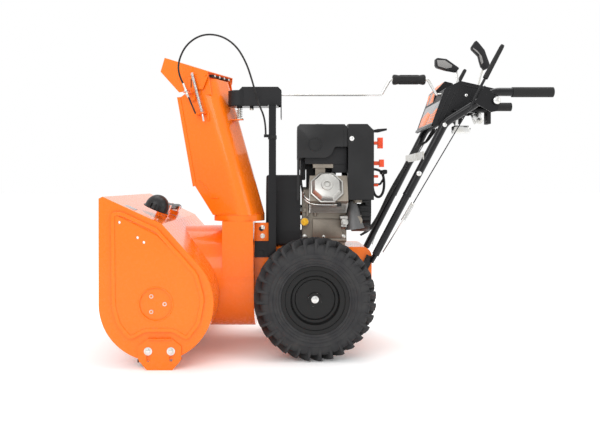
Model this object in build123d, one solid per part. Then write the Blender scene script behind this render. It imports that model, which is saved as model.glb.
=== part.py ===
from build123d import *
import os
from math import acos, asin, atan2, cos, degrees, hypot, pi, radians, sin, sqrt, tan

# Two-stage petrol snow blower, built as separate pieces in one frame.
#
# The frame has +X towards the operator, +Y to the operator's right and +Z up.
# The origin lies on the ground, midway between the front edge of the auger
# housing and the ends of the hand grips, on the centre plane. Units are mm.

# ---------------------------------------------------------------- sizes
LENGTH = 1490.0                 # front of housing to ends of grips
SHEET = 2.5                     # housing and chute sheet
PLATE = 3.0                     # side plates, frame and brackets
GAP = 0.3                       # clearance beside a moving piece
RUN = 0.05                      # radial clearance of a shaft in its bore

# auger housing
HOUSE_HALF = 356.0              # outer face of each side plate
HOUSE_TOP = 546.0               # height of the front top edge
BROW = (-544.0, 460.0)          # bend between the two top slopes (x, z)
DRUM_R = 181.0                  # radius of the wrap round the auger
AUGER_Z = 208.0
AUGER_X = -LENGTH / 2 + 2 + DRUM_R
FRONT_X = AUGER_X - DRUM_R
AUGER_R = 168.0
SHAFT_R = 12.5
AUGER_PITCH = 300.0

# impeller and its drum
IMP_Z = 253.0
IMP_R = 170.0
CASE_R = 182.0                  # outer radius of the impeller drum
CASE_BACK = -264.0              # rear face of the drum
IMP_SHAFT_R = 11.0

# discharge duct and chute
CHUTE_X, CHUTE_Y = -319.0, -92.0
RING_R = 89.0
RING_Z = 458.0
RING_H = 20.0
DUCT_X0, DUCT_X1 = -372.0, -266.0
CHUTE_YAW = -25.0               # chute as stored, turned towards +Y
CHUTE_HALF = 78.0
CHUTE_FOOT = (72.0, 500.0)      # a point of the chute's back line (x, z)
CHUTE_HEAD = (-73.0, 958.0)     # its top
TILT_AXIS = (-88.0, 966.0)      # deflector hinge, in the chute's own frame

# wheels
TYRE_R = 203.0
AXLE_X, AXLE_Z = CASE_BACK + 4 + TYRE_R, TYRE_R
TYRE_W = 116.0
TYRE_Y = 160.0                  # inner face of the tyre
RIM_R = 108.0
AXLE_R = 12.5

# frame, engine and belt drive
FRAME_HALF = 124.0
FRAME_X0, FRAME_X1 = CASE_BACK, 146.0
FRAME_TOP = 366.0
DECK_X0 = -100.0
CRANK_X, CRANK_Z = -16.0, 490.0
BELT_X = -190.0
BELT_W = 12.0
PULLEY_R = 42.0
IMP_PULLEY_R = 90.0
CYL_TILT = 25.0                 # cylinder above the horizontal

# chute drive
POST_X, POST_Y, POST_W = -201.0, -140.0, 25.0
ROD_Z = 903.0
ROD_R = 5.0
MODULE = 2.9
SPUR_A, SPUR_B = 12, 36
BEVEL_MODULE = 2.2
BEVEL_A, BEVEL_B = 12, 24

# handlebars and controls
THROTTLE_PIN = (154.0, 775.5)   # hinge of the throttle blade (x, z)
TUBE_R, SLEEVE_R = 12.7, 14.3
BAR = [(133, 140, 295), (393, 167, 797), (548, 213, 896), (741, 213, 895)]
GRIP_R, GRIP_LEN = 17.0, 134.0
LEVER_PIVOT = (546.0, 863.0)
LEVER_TAIL = (469.0, 861.0)
LEVER_TOP = (566.0, 1044.0)
LEVER_Y = 237.0
LEVER_TURN = 61.0
CONSOLE_HALF = 150.0


# ---------------------------------------------------------------- helpers
def block(x0, x1, y0, y1, z0, z1):
    middle = Pos((x0 + x1) / 2, (y0 + y1) / 2, (z0 + z1) / 2)
    return middle * Box(abs(x1 - x0), abs(y1 - y0), abs(z1 - z0))


def rod(a, b, r):
    """Round bar from point a to point b."""
    a, b = Vector(*a), Vector(*b)
    at = Plane(origin=a, z_dir=b - a)
    return at * Cylinder(r, (b - a).length, align=(Align.CENTER, Align.CENTER, Align.MIN))


def along_x(x0, x1, y, z, r):
    return rod((x0, y, z), (x1, y, z), r)


def along_y(y0, y1, x, z, r):
    return rod((x, y0, z), (x, y1, z), r)


def along_z(z0, z1, x, y, r):
    return rod((x, y, z0), (x, y, z1), r)


def side_prism(points, y0, y1):
    """Prism on an outline of (x, z) points, from y0 to y1."""
    outline = Polyline(*[(x, y0, z) for x, z in points], close=True)
    return extrude(make_face(outline), amount=y1 - y0, dir=(0, 1, 0))


def end_prism(points, x0, x1):
    """Prism on an outline of (y, z) points, from x0 to x1."""
    outline = Polyline(*[(x0, y, z) for y, z in points], close=True)
    return extrude(make_face(outline), amount=x1 - x0, dir=(1, 0, 0))


def soften(shape, axis, radius):
    """Rounds the edges of a shape that run along an axis."""
    return fillet(shape.edges().filter_by(axis), radius)


def pipe(points, r, radii, bore=0.0):
    """Round bar or tube along straight runs joined by arcs."""
    path = FilletPolyline(*points, radius=radii) if len(points) > 2 else Line(*points)
    at = Plane(origin=path @ 0, z_dir=path % 0)
    made = sweep(at * Circle(r), path=path)
    return made - sweep(at * Circle(bore), path=path) if bore else made


def mirrored(shape):
    return mirror(shape, about=Plane.XZ)


def chuted(shape):
    """Places a shape drawn in the chute's own frame."""
    return Pos(CHUTE_X, CHUTE_Y, 0) * Rot(0, 0, CHUTE_YAW) * shape


def bolt_y(x, z, y_head, y_tip, r=5.0, head=9.0, thick=6.0):
    """Hex bolt along Y with the head on the outside of y_head."""
    out = -1 if y_head < y_tip else 1
    at = Plane(origin=(x, y_head, z), z_dir=(0, out, 0))
    nut = at * extrude(RegularPolygon(head, 6), amount=thick)
    return nut + along_y(y_head, y_tip, x, z, r)


def spur(teeth, module, height, bore, phase=0.0):
    """Straight-toothed gear about Z with slim trapezoid teeth."""
    pitch_r = teeth * module / 2
    root, tip = pitch_r - 1.2 * module, pitch_r + 0.9 * module
    body = Cylinder(root, height, align=(Align.CENTER, Align.CENTER, Align.MIN))
    wide, narrow = 0.42 * pi * module, 0.2 * pi * module
    tooth_line = Polyline((root - 1, -wide / 2), (root - 1, wide / 2), (tip, narrow / 2),
                          (tip, -narrow / 2), close=True)
    tooth = extrude(make_face(tooth_line), amount=height)
    teeth_all = [Rot(0, 0, phase + 360 * i / teeth) * tooth for i in range(teeth)]
    hole = Cylinder(bore, height, align=(Align.CENTER, Align.CENTER, Align.MIN))
    return (body + teeth_all) - hole


def bevel(teeth, mate, module, face, phase=0.0):
    """Straight bevel gear about Z, cone apex at the origin, teeth towards +Z."""
    radius, depth = teeth * module / 2, mate * module / 2
    cone = hypot(radius, depth)
    back = (cone - face) / cone
    add, ded = 0.75 * module, 1.0 * module
    nx, nz = depth / cone, radius / cone      # outward normal of the pitch cone

    def ring(share, off):
        return radius * share + nx * off, -depth * share + nz * off

    (r0, z0), (r1, z1) = ring(1, -ded), ring(back, -ded * back)
    hub = make_face(Polyline((0, 0, z0 - 4), (r0, 0, z0 - 4), (r0, 0, z0), (r1, 0, z1),
                             (0, 0, z1), close=True))
    body = revolve(hub, Axis.Z)

    def section(share):
        (ri, zi), (ro, zo) = ring(share, (-ded - 0.6) * share), ring(share, add * share)
        wide, thin = 0.38 * pi * module * share, 0.2 * pi * module * share
        return make_face(Polyline((ri, -wide / 2, zi), (ri, wide / 2, zi), (ro, thin / 2, zo),
                                  (ro, -thin / 2, zo), close=True))

    tooth = loft([section(1), section(back)])
    return body + [Rot(0, 0, phase + 360 * i / teeth) * tooth for i in range(teeth)]


PARTS = {}


def keep(name, shape):
    PARTS[name] = shape


# ---------------------------------------------------------------- auger housing
def housing_outline(y):
    """Closed outline of the housing side at a given y, as edges."""
    bx, bz = BROW
    reach = hypot(bx - AUGER_X, bz - AUGER_Z)
    touch = atan2(bz - AUGER_Z, bx - AUGER_X) - acos(DRUM_R / reach)
    tangent = (AUGER_X + DRUM_R * cos(touch), y, AUGER_Z + DRUM_R * sin(touch))
    low = (AUGER_X, y, AUGER_Z - DRUM_R)
    front = (FRONT_X, y, AUGER_Z)
    side = DRUM_R * sqrt(0.5)
    first = ThreePointArc(front, (AUGER_X - side, y, AUGER_Z - side), low)
    second = ThreePointArc(low, (AUGER_X + side, y, AUGER_Z - side), tangent)
    rest = Polyline(tangent, (bx, y, bz), (FRONT_X + 12, y, HOUSE_TOP), (FRONT_X, y, HOUSE_TOP - 6),
                    front)
    return [first, second, rest]


def housing_block(y0, y1, inset=0.0):
    face = make_face(Curve() + housing_outline(y0))
    if inset:
        face = offset(face, amount=-inset, kind=Kind.INTERSECTION)
    return extrude(face, amount=y1 - y0, dir=(0, 1, 0))


def side_plate(sign):
    """Pressed end plate of the housing; built at -Y and mirrored for +Y."""
    outer = -HOUSE_HALF
    plate = housing_block(outer, outer + PLATE)
    line = [(FRONT_X + 42, 498), (FRONT_X + 42, 200), (FRONT_X + 60, 140),
            (FRONT_X + 100, 96), (FRONT_X + 140, 122), (FRONT_X + 243, 122),
            (FRONT_X + 283, 96), (FRONT_X + 320, 144), (FRONT_X + 332, 222),
            (FRONT_X + 308, 306), (BROW[0] - 12, BROW[1] - 34)]
    pad = soften(side_prism(line, outer - 4, outer), Axis.Y, 13)
    rim = pad.faces().sort_by(Axis.Y)[0].edges()
    plate += chamfer(rim, 3.6)
    recess = along_y(outer - 5, outer - 1.5, AUGER_X, AUGER_Z, 52)
    plate -= recess
    for hx, hz in ((-677, 465), (-620, 417), (-600, 402)):
        plate -= along_y(outer - 6, outer + PLATE + 1, hx, hz, 4.5)
    for turn in (0, 120, 240):
        bx, bz = AUGER_X + 28 * cos(radians(turn)), AUGER_Z + 28 * sin(radians(turn))
        plate -= along_y(outer - 6, outer + PLATE + 1, bx, bz, 4.2)
    for sx in SHOE_BOLTS:
        plate -= along_y(outer - 6, outer + PLATE + 1, sx, SHOE_BOLT_Z, 5.2)
    return plate if sign < 0 else mirrored(plate)


SHOE_X = AUGER_X + 12
SHOE_BOLTS = (SHOE_X - 36, SHOE_X + 36)
SHOE_BOLT_Z = 60.0


def skid_shoe(sign):
    """Slotted runner, bolted outside the side plate and turned in underneath."""
    y0 = -HOUSE_HALF - PLATE - 1.2
    face = [(SHOE_X - 68, 76), (SHOE_X - 68, 36), (SHOE_X - 40, 0), (SHOE_X + 40, 0),
            (SHOE_X + 68, 36), (SHOE_X + 68, 76), (SHOE_X + 36, 100), (SHOE_X - 36, 100)]
    plate = side_prism(face, y0, y0 + PLATE)
    for sx in SHOE_BOLTS:
        slot = along_y(y0 - 1, y0 + PLATE + 1, sx, SHOE_BOLT_Z + 3, 5.2)
        slot += along_y(y0 - 1, y0 + PLATE + 1, sx, SHOE_BOLT_Z - 28, 5.2)
        slot += block(sx - 5.2, sx + 5.2, y0 - 1, y0 + PLATE + 1, SHOE_BOLT_Z - 28, SHOE_BOLT_Z + 3)
        plate -= slot
    sole = side_prism([(SHOE_X - 66, 30), (SHOE_X - 40, 0), (SHOE_X + 40, 0), (SHOE_X + 66, 30),
                       (SHOE_X + 62, 32), (SHOE_X + 38.5, 4), (SHOE_X - 38.5, 4), (SHOE_X - 62, 32)],
                      y0, y0 + 36)
    brow = side_prism([(SHOE_X - 36, 97), (SHOE_X + 36, 97), (SHOE_X + 36, 100), (SHOE_X - 36, 100)],
                      y0 - 7, y0)
    shoe = plate + sole + brow
    return shoe if sign < 0 else mirrored(shoe)


def build_housing():
    span = HOUSE_HALF - PLATE
    shell = housing_block(-span, span) - housing_block(-span - 1, span + 1, SHEET)
    shell -= block(FRONT_X - 5, FRONT_X + 6, -span - 1, span + 1, -5, HOUSE_TOP - 22)
    shell -= block(FRONT_X - 5, AUGER_X - 62, -span - 1, span + 1, -5, AUGER_Z + 20)
    shell -= along_x(AUGER_X, CASE_BACK, 0, IMP_Z, CASE_R - SHEET)
    for by in (-SCRAPER_BOLT, SCRAPER_BOLT):
        shell -= along_z(20, 45, SCRAPER_X, by, 4.6)
    keep("housing_wrap", shell)
    keep("side_plate_left", side_plate(-1))
    keep("side_plate_right", side_plate(1))
    keep("skid_shoe_left", skid_shoe(-1))
    keep("skid_shoe_right", skid_shoe(1))
    bolts = []
    shoe_out = HOUSE_HALF + PLATE + 1.2
    for side in (-1, 1):
        for sx in SHOE_BOLTS:
            bolts.append(bolt_y(sx, SHOE_BOLT_Z, side * shoe_out, side * (HOUSE_HALF - 12), 5.0, 9, 6)
                         + along_y(side * shoe_out, side * (shoe_out + 2), sx, SHOE_BOLT_Z, 12))
            bolts.append(along_y(side * (HOUSE_HALF), side * (HOUSE_HALF + 1.2), sx, SHOE_BOLT_Z, 14)
                         - along_y(side * (HOUSE_HALF - 1), side * (HOUSE_HALF + 2), sx, SHOE_BOLT_Z, 5.1))
    keep("shoe_bolts", Compound(bolts))


SCRAPER_X = AUGER_X - 20.0
SCRAPER_BOLT = 250.0


def build_scraper():
    """Replaceable wear edge under the front lip of the wrap."""
    drop = AUGER_Z - sqrt(DRUM_R ** 2 - (SCRAPER_X - AUGER_X) ** 2)
    low = drop - 6
    span = HOUSE_HALF - 42
    blade = block(SCRAPER_X - 48, SCRAPER_X + 22, -span, span, low - 4, low)
    blade = blade + block(SCRAPER_X - 48, SCRAPER_X - 44, -span, span, low - 10, low)
    tabs = [block(SCRAPER_X - 14, SCRAPER_X + 14, by - 14, by + 14, low, low + 12)
            for by in (-SCRAPER_BOLT, SCRAPER_BOLT)]
    blade = blade + tabs
    blade -= housing_block(-span - 1, span + 1)
    keep("scraper_blade", blade)


# ---------------------------------------------------------------- auger
def helix_ribbon(y0, y1, hand, start):
    """Helical flight about the auger shaft, from y0 to y1."""
    depth, thick = 46.0, 4.0
    path = Helix(pitch=AUGER_PITCH, height=abs(y1 - y0), radius=AUGER_R - depth / 2,
                 lefthand=hand < 0)
    at = Plane(origin=path @ 0, x_dir=(1, 0, 0), z_dir=path % 0)
    flight = sweep(at * Rectangle(depth, thick), path=path, is_frenet=True)
    return Pos(AUGER_X, y0, AUGER_Z) * Rot(-90, 0, 0) * Rot(0, 0, start) * flight


def auger_half(sign):
    inner, outer = 62.0, HOUSE_HALF - 32
    length = outer - inner
    tube = along_y(inner, outer, AUGER_X, AUGER_Z, SHAFT_R + 5)
    tube -= along_y(inner - 1, outer + 1, AUGER_X, AUGER_Z, SHAFT_R + RUN)
    half = tube
    for start in (0, 180):
        half += helix_ribbon(inner + 4, outer - 4, -1, start)
    for share, start in ((0.12, 0), (0.5, 0), (0.88, 0), (0.12, 180), (0.5, 180), (0.88, 180)):
        y = inner + 4 + (length - 8) * share
        turn = radians(start - 360 * (y - inner - 4) / AUGER_PITCH)
        far = AUGER_R - 40
        tip = (AUGER_X + far * cos(turn), y, AUGER_Z - far * sin(turn))
        near = SHAFT_R + 2
        half += rod((AUGER_X + near * cos(turn), y, AUGER_Z - near * sin(turn)), tip, 6)
    pin_y = inner + 22
    half -= along_x(AUGER_X - 40, AUGER_X + 40, pin_y, AUGER_Z, 3.3)
    return half if sign > 0 else mirrored(half)


def build_auger():
    pin_y = 62.0 + 22
    shaft = along_y(-HOUSE_HALF + 6, HOUSE_HALF - 6, AUGER_X, AUGER_Z, SHAFT_R)
    for side in (-1, 1):
        shaft -= along_x(AUGER_X - 40, AUGER_X + 40, side * pin_y, AUGER_Z, 3.3)
    keep("auger_left", auger_half(-1))
    keep("auger_right", auger_half(1))
    pins = []
    for side in (-1, 1):
        head = SHAFT_R + 11.3
        pin = along_x(AUGER_X - head - 1, AUGER_X + head + 1, side * pin_y, AUGER_Z, 3.2)
        pin += along_x(AUGER_X - head - 4.2, AUGER_X - head, side * pin_y, AUGER_Z, 5.6)
        pins.append(pin + along_x(AUGER_X + head, AUGER_X + head + 4.2, side * pin_y, AUGER_Z, 5.6))
    keep("auger_shaft", shaft + pins)
    seats = []
    for side in (-1, 1):
        seat = along_y(side * (HOUSE_HALF - PLATE), side * (HOUSE_HALF - 7), AUGER_X, AUGER_Z, 40)
        seat += along_y(side * (HOUSE_HALF - 7), side * (HOUSE_HALF - 26), AUGER_X, AUGER_Z, 24)
        seat -= along_y(side * (HOUSE_HALF - 4), side * (HOUSE_HALF - 30), AUGER_X, AUGER_Z,
                        SHAFT_R + RUN)
        for turn in (0, 120, 240):
            bx, bz = AUGER_X + 28 * cos(radians(turn)), AUGER_Z + 28 * sin(radians(turn))
            seat += along_y(side * (HOUSE_HALF - 6), side * (HOUSE_HALF + 1), bx, bz, 4.0)
            seat += along_y(side * (HOUSE_HALF + 1.5), side * (HOUSE_HALF + 4.5), bx, bz, 6.5)
        seats.append(seat)
    keep("auger_bearings", Compound(seats))


# ---------------------------------------------------------------- worm drive
WORM_TEETH = 20
WORM_MODULE = 3.0
WORM_R = IMP_Z - AUGER_Z - WORM_TEETH * WORM_MODULE / 2


def build_worm_drive():
    """Gear case at mid shaft: a worm on the impeller shaft turns a wheel on the auger shaft."""
    half = 34.0
    outer = along_y(-half, half, AUGER_X, AUGER_Z, 46)
    outer += along_x(AUGER_X - 34, AUGER_X + 66, 0, IMP_Z, 27)
    inner = along_y(-half + 5, half - 5, AUGER_X, AUGER_Z, 38)
    inner += along_x(AUGER_X - 28, AUGER_X + 60, 0, IMP_Z, 21)
    case = outer - inner
    case -= along_y(-half - 1, half + 1, AUGER_X, AUGER_Z, SHAFT_R + RUN)
    case -= along_x(AUGER_X + 50, AUGER_X + 70, 0, IMP_Z, IMP_SHAFT_R + RUN)
    keep("gear_case", case)
    wheel = spur(WORM_TEETH, WORM_MODULE, 12, SHAFT_R)
    keep("worm_wheel", Pos(AUGER_X, -6, AUGER_Z) * Rot(-90, 0, 0) * wheel)


# ---------------------------------------------------------------- impeller
def build_impeller():
    hub_x0, hub_x1 = CASE_BACK - 112, CASE_BACK - 8
    hub = along_x(hub_x0, hub_x1, 0, IMP_Z, 24) - along_x(hub_x0 - 1, hub_x1 + 1, 0, IMP_Z, IMP_SHAFT_R)
    blades = []
    for i in range(4):
        paddle = block(hub_x0 + 6, hub_x1 - 4, 0, 5, 20, IMP_R)
        lip = block(hub_x0 + 6, hub_x1 - 4, 0, 22, IMP_R - 6, IMP_R - 1.5)
        web = block(hub_x1 - 9, hub_x1 - 4, 0, 60, 20, IMP_R - 40)
        turned = Pos(0, 0, IMP_Z) * Rot(90 * i, 0, 0) * (paddle + lip + web)
        blades.append(turned)
    keep("impeller", hub + blades)
    shaft = along_x(AUGER_X + 40, BELT_X + 22, 0, IMP_Z, IMP_SHAFT_R)
    keep("impeller_shaft", shaft + worm())


def worm():
    """Single-start thread that drives the wheel below it."""
    lead = pi * WORM_MODULE
    path = Helix(pitch=lead, height=5 * lead, radius=WORM_R - 1)
    at = Plane(origin=path @ 0, x_dir=(1, 0, 0), z_dir=path % 0)
    thread = sweep(at * Rectangle(6.6, 2.4), path=path, is_frenet=True)
    return Pos(AUGER_X - 2.5 * lead, 0, IMP_Z) * Rot(0, 90, 0) * thread


# ---------------------------------------------------------------- impeller drum and duct
def build_drum():
    barrel = along_x(AUGER_X, CASE_BACK, 0, IMP_Z, CASE_R)
    bore = along_x(AUGER_X - 1, CASE_BACK - PLATE, 0, IMP_Z, CASE_R - SHEET)
    duct_y0, duct_y1 = -CASE_R, 2 * CHUTE_Y + CASE_R
    duct = block(DUCT_X0, DUCT_X1, duct_y0, duct_y1, IMP_Z, RING_Z)
    flue = block(DUCT_X0 + SHEET, DUCT_X1 - SHEET, duct_y0 + SHEET, duct_y1 - SHEET, IMP_Z, RING_Z + 1)
    drum = (barrel + duct) - bore - flue
    drum -= housing_block(-HOUSE_HALF, HOUSE_HALF)
    drum -= along_x(CASE_BACK - 10, CASE_BACK + 5, 0, IMP_Z, 20)
    drum += block(DUCT_X0 - 2, DUCT_X1 + 2, duct_y0 - 2, duct_y0, RING_Z - 196, RING_Z - 190)
    keep("impeller_drum", drum)
    ring = along_z(RING_Z, RING_Z + RING_H, CHUTE_X, CHUTE_Y, RING_R)
    ring -= along_z(RING_Z - 1, RING_Z + RING_H + 1, CHUTE_X, CHUTE_Y, RING_R - 16)
    foot = along_z(RING_Z, RING_Z + 3, CHUTE_X, CHUTE_Y, RING_R)
    foot -= block(DUCT_X0 + SHEET, DUCT_X1 - SHEET, duct_y0 + SHEET + 8, duct_y1 - SHEET - 8,
                  RING_Z - 1, RING_Z + 4)
    keep("chute_base_ring", ring + foot)
    bearing = along_x(CASE_BACK, CASE_BACK + 12, 0, IMP_Z, 38)
    bearing += along_x(CASE_BACK - PLATE - 1, CASE_BACK + 1, 0, IMP_Z, 19.8)
    bearing -= along_x(CASE_BACK - 20, CASE_BACK + 20, 0, IMP_Z, IMP_SHAFT_R + RUN)
    keep("impeller_bearing", bearing)


# ---------------------------------------------------------------- frame and wheels
def build_frame():
    """Pressed steel housing that carries the engine, the axle and the handlebars."""
    x0, x1, half = FRAME_X0, FRAME_X1, FRAME_HALF
    low = 150.0
    line = [(x0, low), (x1 - 40, low), (x1, low + 50), (x1, FRAME_TOP), (x0, FRAME_TOP)]
    outer = side_prism(line, -half, half)
    outer = fillet(outer.edges().filter_by(Axis.Y).sort_by(lambda e: e.center().X + e.center().Z)[-1], 34)
    core = [(x0 + PLATE, low + PLATE), (x1 - 41, low + PLATE), (x1 - PLATE, low + 51),
            (x1 - PLATE, FRAME_TOP - PLATE), (x0 + PLATE, FRAME_TOP - PLATE)]
    inner = side_prism(core, PLATE - half, half - PLATE)
    top = inner.edges().filter_by(Axis.Y).sort_by(lambda e: e.center().X + e.center().Z)[-1]
    shell = outer - fillet(top, 31)
    shell -= along_x(x0 - 1, x0 + PLATE + 1, 0, IMP_Z, 42)
    shell -= block(BELT_X - 26, BELT_X + 26, -84, 84, FRAME_TOP - 10, FRAME_TOP + 5)
    shell -= along_y(-half - 5, half + 5, AXLE_X, AXLE_Z, 17)
    for bx, bz in FOOT_BOLTS:
        shell -= along_y(-half - 5, half + 5, bx, bz, 4.4)
    keep("tractor_frame", shell)
    seats = []
    for side in (-1, 1):
        seat = along_y(side * (half - 10), side * (half + 8), AXLE_X, AXLE_Z, 16.8)
        seat += along_y(side * half, side * (half + 4), AXLE_X, AXLE_Z, 32)
        seats.append(seat - along_y(side * (half - 12), side * (half + 12), AXLE_X, AXLE_Z,
                                    AXLE_R + RUN))
    keep("axle_bearings", Compound(seats))


FOOT_BOLTS = ((121.0, 298.0), (132.0, 322.0))


def build_wheels():
    span = TYRE_Y + TYRE_W - 30
    axle = along_y(-span, span, AXLE_X, AXLE_Z, AXLE_R)
    for side in (-1, 1):
        axle += along_y(side * (half_clear()), side * (half_clear() + 6), AXLE_X, AXLE_Z, 19)
    gear = Pos(AXLE_X, -6, AXLE_Z) * Rot(-90, 0, 0) * spur(36, 2.4, 12, AXLE_R)
    keep("axle", axle + gear)
    for side, name in ((-1, "left"), (1, "right")):
        rim, tyre = wheel(side)
        keep("rim_" + name, rim)
        keep("tyre_" + name, tyre)


def half_clear():
    """Inner face of the axle collars, beside the bearing."""
    return FRAME_HALF + 8 + GAP


def wheel(side):
    """Rim and tyre, turned about the axle, drawn at +Y."""
    inner, outer = TYRE_Y, TYRE_Y + TYRE_W
    mid = (inner + outer) / 2
    rim_line = [(0, inner + 14), (22, inner + 14), (22, outer - 36), (66, outer - 36),
                (70, outer - 30), (78, outer - 30), (84, outer - 16), (RIM_R - 8, outer - 16),
                (RIM_R - 8, inner + 8), (RIM_R + 4, inner + 8), (RIM_R + 4, inner + 12),
                (RIM_R - 4, inner + 12), (RIM_R - 4, outer - 12), (RIM_R + 4, outer - 12),
                (RIM_R + 4, outer - 8), (RIM_R - 8, outer - 8), (RIM_R - 10, outer - 12),
                (82, outer - 12), (76, outer - 26), (68, outer - 26), (64, outer - 32),
                (22, outer - 32), (22, outer - 24), (0, outer - 24)]
    tyre_line = [(RIM_R - 3.9, inner + 12.1), (RIM_R + 4.1, inner + 12.1), (RIM_R + 4.1, inner + 8),
                 (RIM_R + 14, inner + 5), (RIM_R + 44, inner),
                 (TYRE_R - 26, inner + 4), (TYRE_R - 6, inner + 20), (TYRE_R - 4, mid),
                 (TYRE_R - 6, outer - 20), (TYRE_R - 26, outer - 4), (RIM_R + 44, outer),
                 (RIM_R + 14, outer - 5), (RIM_R + 4.1, outer - 8), (RIM_R + 4.1, outer - 12.1),
                 (RIM_R - 3.9, outer - 12.1)]
    rim = turned_y(rim_line) - along_y(inner, outer + 5, 0, 0, AXLE_R)
    tyre = turned_y(tyre_line)
    lugs = []
    for i in range(16):
        bar = Rot(0, 22.5 * i, 0) * tread_bar(mid, 1)
        lugs += [bar, Rot(0, 22.5 * i + 11.25, 0) * tread_bar(mid, -1)]
    limit = turned_y([(0, inner + 1), (TYRE_R, inner + 18), (TYRE_R, outer - 18), (0, outer - 1)])
    band = turned_y([(TYRE_R - 24, inner - 5), (TYRE_R + 9, inner - 5), (TYRE_R + 9, outer + 5),
                     (TYRE_R - 24, outer + 5)])
    tyre += Compound(lugs) & limit & band
    place = Pos(AXLE_X, 0, AXLE_Z)
    pair = place * rim, place * tyre
    return pair if side > 0 else (mirrored(pair[0]), mirrored(pair[1]))


def turned_y(points):
    """Solid of revolution about Y from (radius, y) points."""
    face = make_face(Polyline(*[(r, y, 0) for r, y in points], close=True))
    return revolve(face, Axis.Y)


def tread_bar(mid, way):
    """One slanting lug on the tyre, reaching from the shoulder past the middle."""
    bar = Box(14, TYRE_W / 2 + 2, 30)
    return Pos(0, mid + way * (TYRE_W / 4 + 1), TYRE_R - 12) * Rot(0, 0, way * 24) * bar


# ---------------------------------------------------------------- engine
def build_engine():
    case = block(-96, 62, -72, 78, FRAME_TOP + 10, 575)
    case = soften(case, Axis.X, 18)
    case += block(-92, 56, -84, 84, FRAME_TOP, FRAME_TOP + 12)
    case -= along_x(-110, 90, 0, CRANK_Z, 15)
    barrel = block(-56, 44, -24, 24, 0, 178)
    fins = [block(-70, 56, -46, 46, 84 + 12 * i, 88.5 + 12 * i) for i in range(8)]
    head = block(-72, 58, -48, 48, 174, 192)
    tower = barrel + block(-50, 38, -40, 40, 74, 178) + head + fins
    case += cylinder_at(tower) - along_x(-110, 90, 0, CRANK_Z, 15)
    case += carburettor()
    case -= along_x(-200, 200, 0, CRANK_Z, 15)
    case -= cylinder_at(Pos(0, 0, 0) * block(-20, 6, -13, 13, 40, 60))
    case -= along_z(430, 460, OIL_CAP[0], OIL_CAP[1], 0.5)
    keep("engine_block", case - along_y(-90, -60, OIL_CAP[0], OIL_CAP[2], 9.3))
    cover = cylinder_at(valve_cover())
    keep("valve_cover", cover)
    crank = along_x(BELT_X - 22, 84, 0, CRANK_Z, 11)
    crank += pulley(BELT_X, CRANK_Z, PULLEY_R)
    crank += along_x(-112, -96 - GAP, 0, CRANK_Z, 20) + along_x(62 + GAP, 83, 0, CRANK_Z, 68)
    keep("crankshaft", crank)
    build_shrouds()
    build_engine_controls()


OIL_CAP = (-88.0, -78.0, 452.0)


def cylinder_at(shape):
    """Places a shape drawn with the bore along +Z onto the engine."""
    return Pos(0, 0, CRANK_Z) * Rot(90 - CYL_TILT, 0, 0) * shape


def valve_cover():
    base = Pos(-14, 0, 192) * extrude(Rot(0, 0, 22.5) * RegularPolygon(60, 8), amount=8)
    cap = Pos(-14, 0, 200) * extrude(Rot(0, 0, 22.5) * RegularPolygon(56, 8), amount=20, taper=22)
    boss = Pos(-14, 0, 219) * Cylinder(20, 6)
    screws = [Pos(-14 + sx * 40, sy * 40, 204) * Cylinder(5, 9) for sx in (-1, 1) for sy in (-1, 1)]
    return base + cap + boss + screws


def carburettor():
    """Carburettor, its intake elbow and the starter stub on the near side."""
    bowl = along_z(520, 562, 96, -104, 18) + block(50, 118, -124, -84, 560, 600)
    stub = along_y(-120, -82, 98, 458, 16) + block(50, 112, -100, -84, 440, 476)
    return bowl + stub + block(50, 61, -90, -40, 556, 590) + block(50, 61, -90, -60, 440, 476)


def pulley(x, z, r):
    """Single-groove pulley on a shaft along X."""
    wide = BELT_W / 2 + 4
    body = along_x(x - wide, x + wide, 0, z, r + 6)
    ring = Pos(x, 0, z) * Rot(0, 90, 0) * groove_ring(r)
    return body - ring


def groove_ring(r):
    half_top = half_low = BELT_W / 2 + GAP
    face = make_face(Polyline((r - 6, 0, -half_low), (r + 8, 0, -half_top), (r + 8, 0, half_top),
                              (r - 6, 0, half_low), close=True))
    return revolve(face, Axis.Z)


def belt_outline(grow):
    """Wrap of the belt round both pulleys, in the plane of the belt."""
    a, b = PULLEY_R + grow, IMP_PULLEY_R + grow
    span = CRANK_Z - IMP_Z
    lean = asin((b - a) / span)
    big = (b * cos(lean), IMP_Z + b * sin(lean))
    small = (a * cos(lean), CRANK_Z + a * sin(lean))
    x = BELT_X - BELT_W / 2
    edges = [Line((x, *big), (x, *small)),
             ThreePointArc((x, *small), (x, 0, CRANK_Z + a), (x, -small[0], small[1])),
             Line((x, -small[0], small[1]), (x, -big[0], big[1])),
             ThreePointArc((x, -big[0], big[1]), (x, 0, IMP_Z - b), (x, *big))]
    return make_face(Curve() + edges)


def build_belt():
    band = extrude(belt_outline(5.0), amount=BELT_W, dir=(1, 0, 0))
    band -= extrude(belt_outline(-3.0), amount=BELT_W, dir=(1, 0, 0))
    keep("drive_belt", band)
    hub = pulley(BELT_X, IMP_Z, IMP_PULLEY_R)
    for i in range(5):
        turn = radians(72 * i)
        hub -= along_x(BELT_X - 30, BELT_X + 30, 62 * sin(turn), IMP_Z + 62 * cos(turn), 20)
    keep("impeller_shaft", PARTS["impeller_shaft"] + hub)
    line = [(-96, FRAME_TOP), (96, FRAME_TOP), (94, 420), (80, 560), (56, 619), (-56, 619),
            (-80, 560), (-94, 420)]
    skin = end_prism(line, -226, -103)
    skin = soften(skin, Axis.X, 10)
    skin = fillet(skin.faces().sort_by(Axis.X)[0].edges(), 9)
    small = [(y * (abs(y) - 3) / abs(y), min(z, 616)) for y, z in line]
    skin -= end_prism([(y, z - (3 if z < FRAME_TOP + 1 else 0)) for y, z in small], -223, -100)
    keep("belt_cover", skin)


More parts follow.
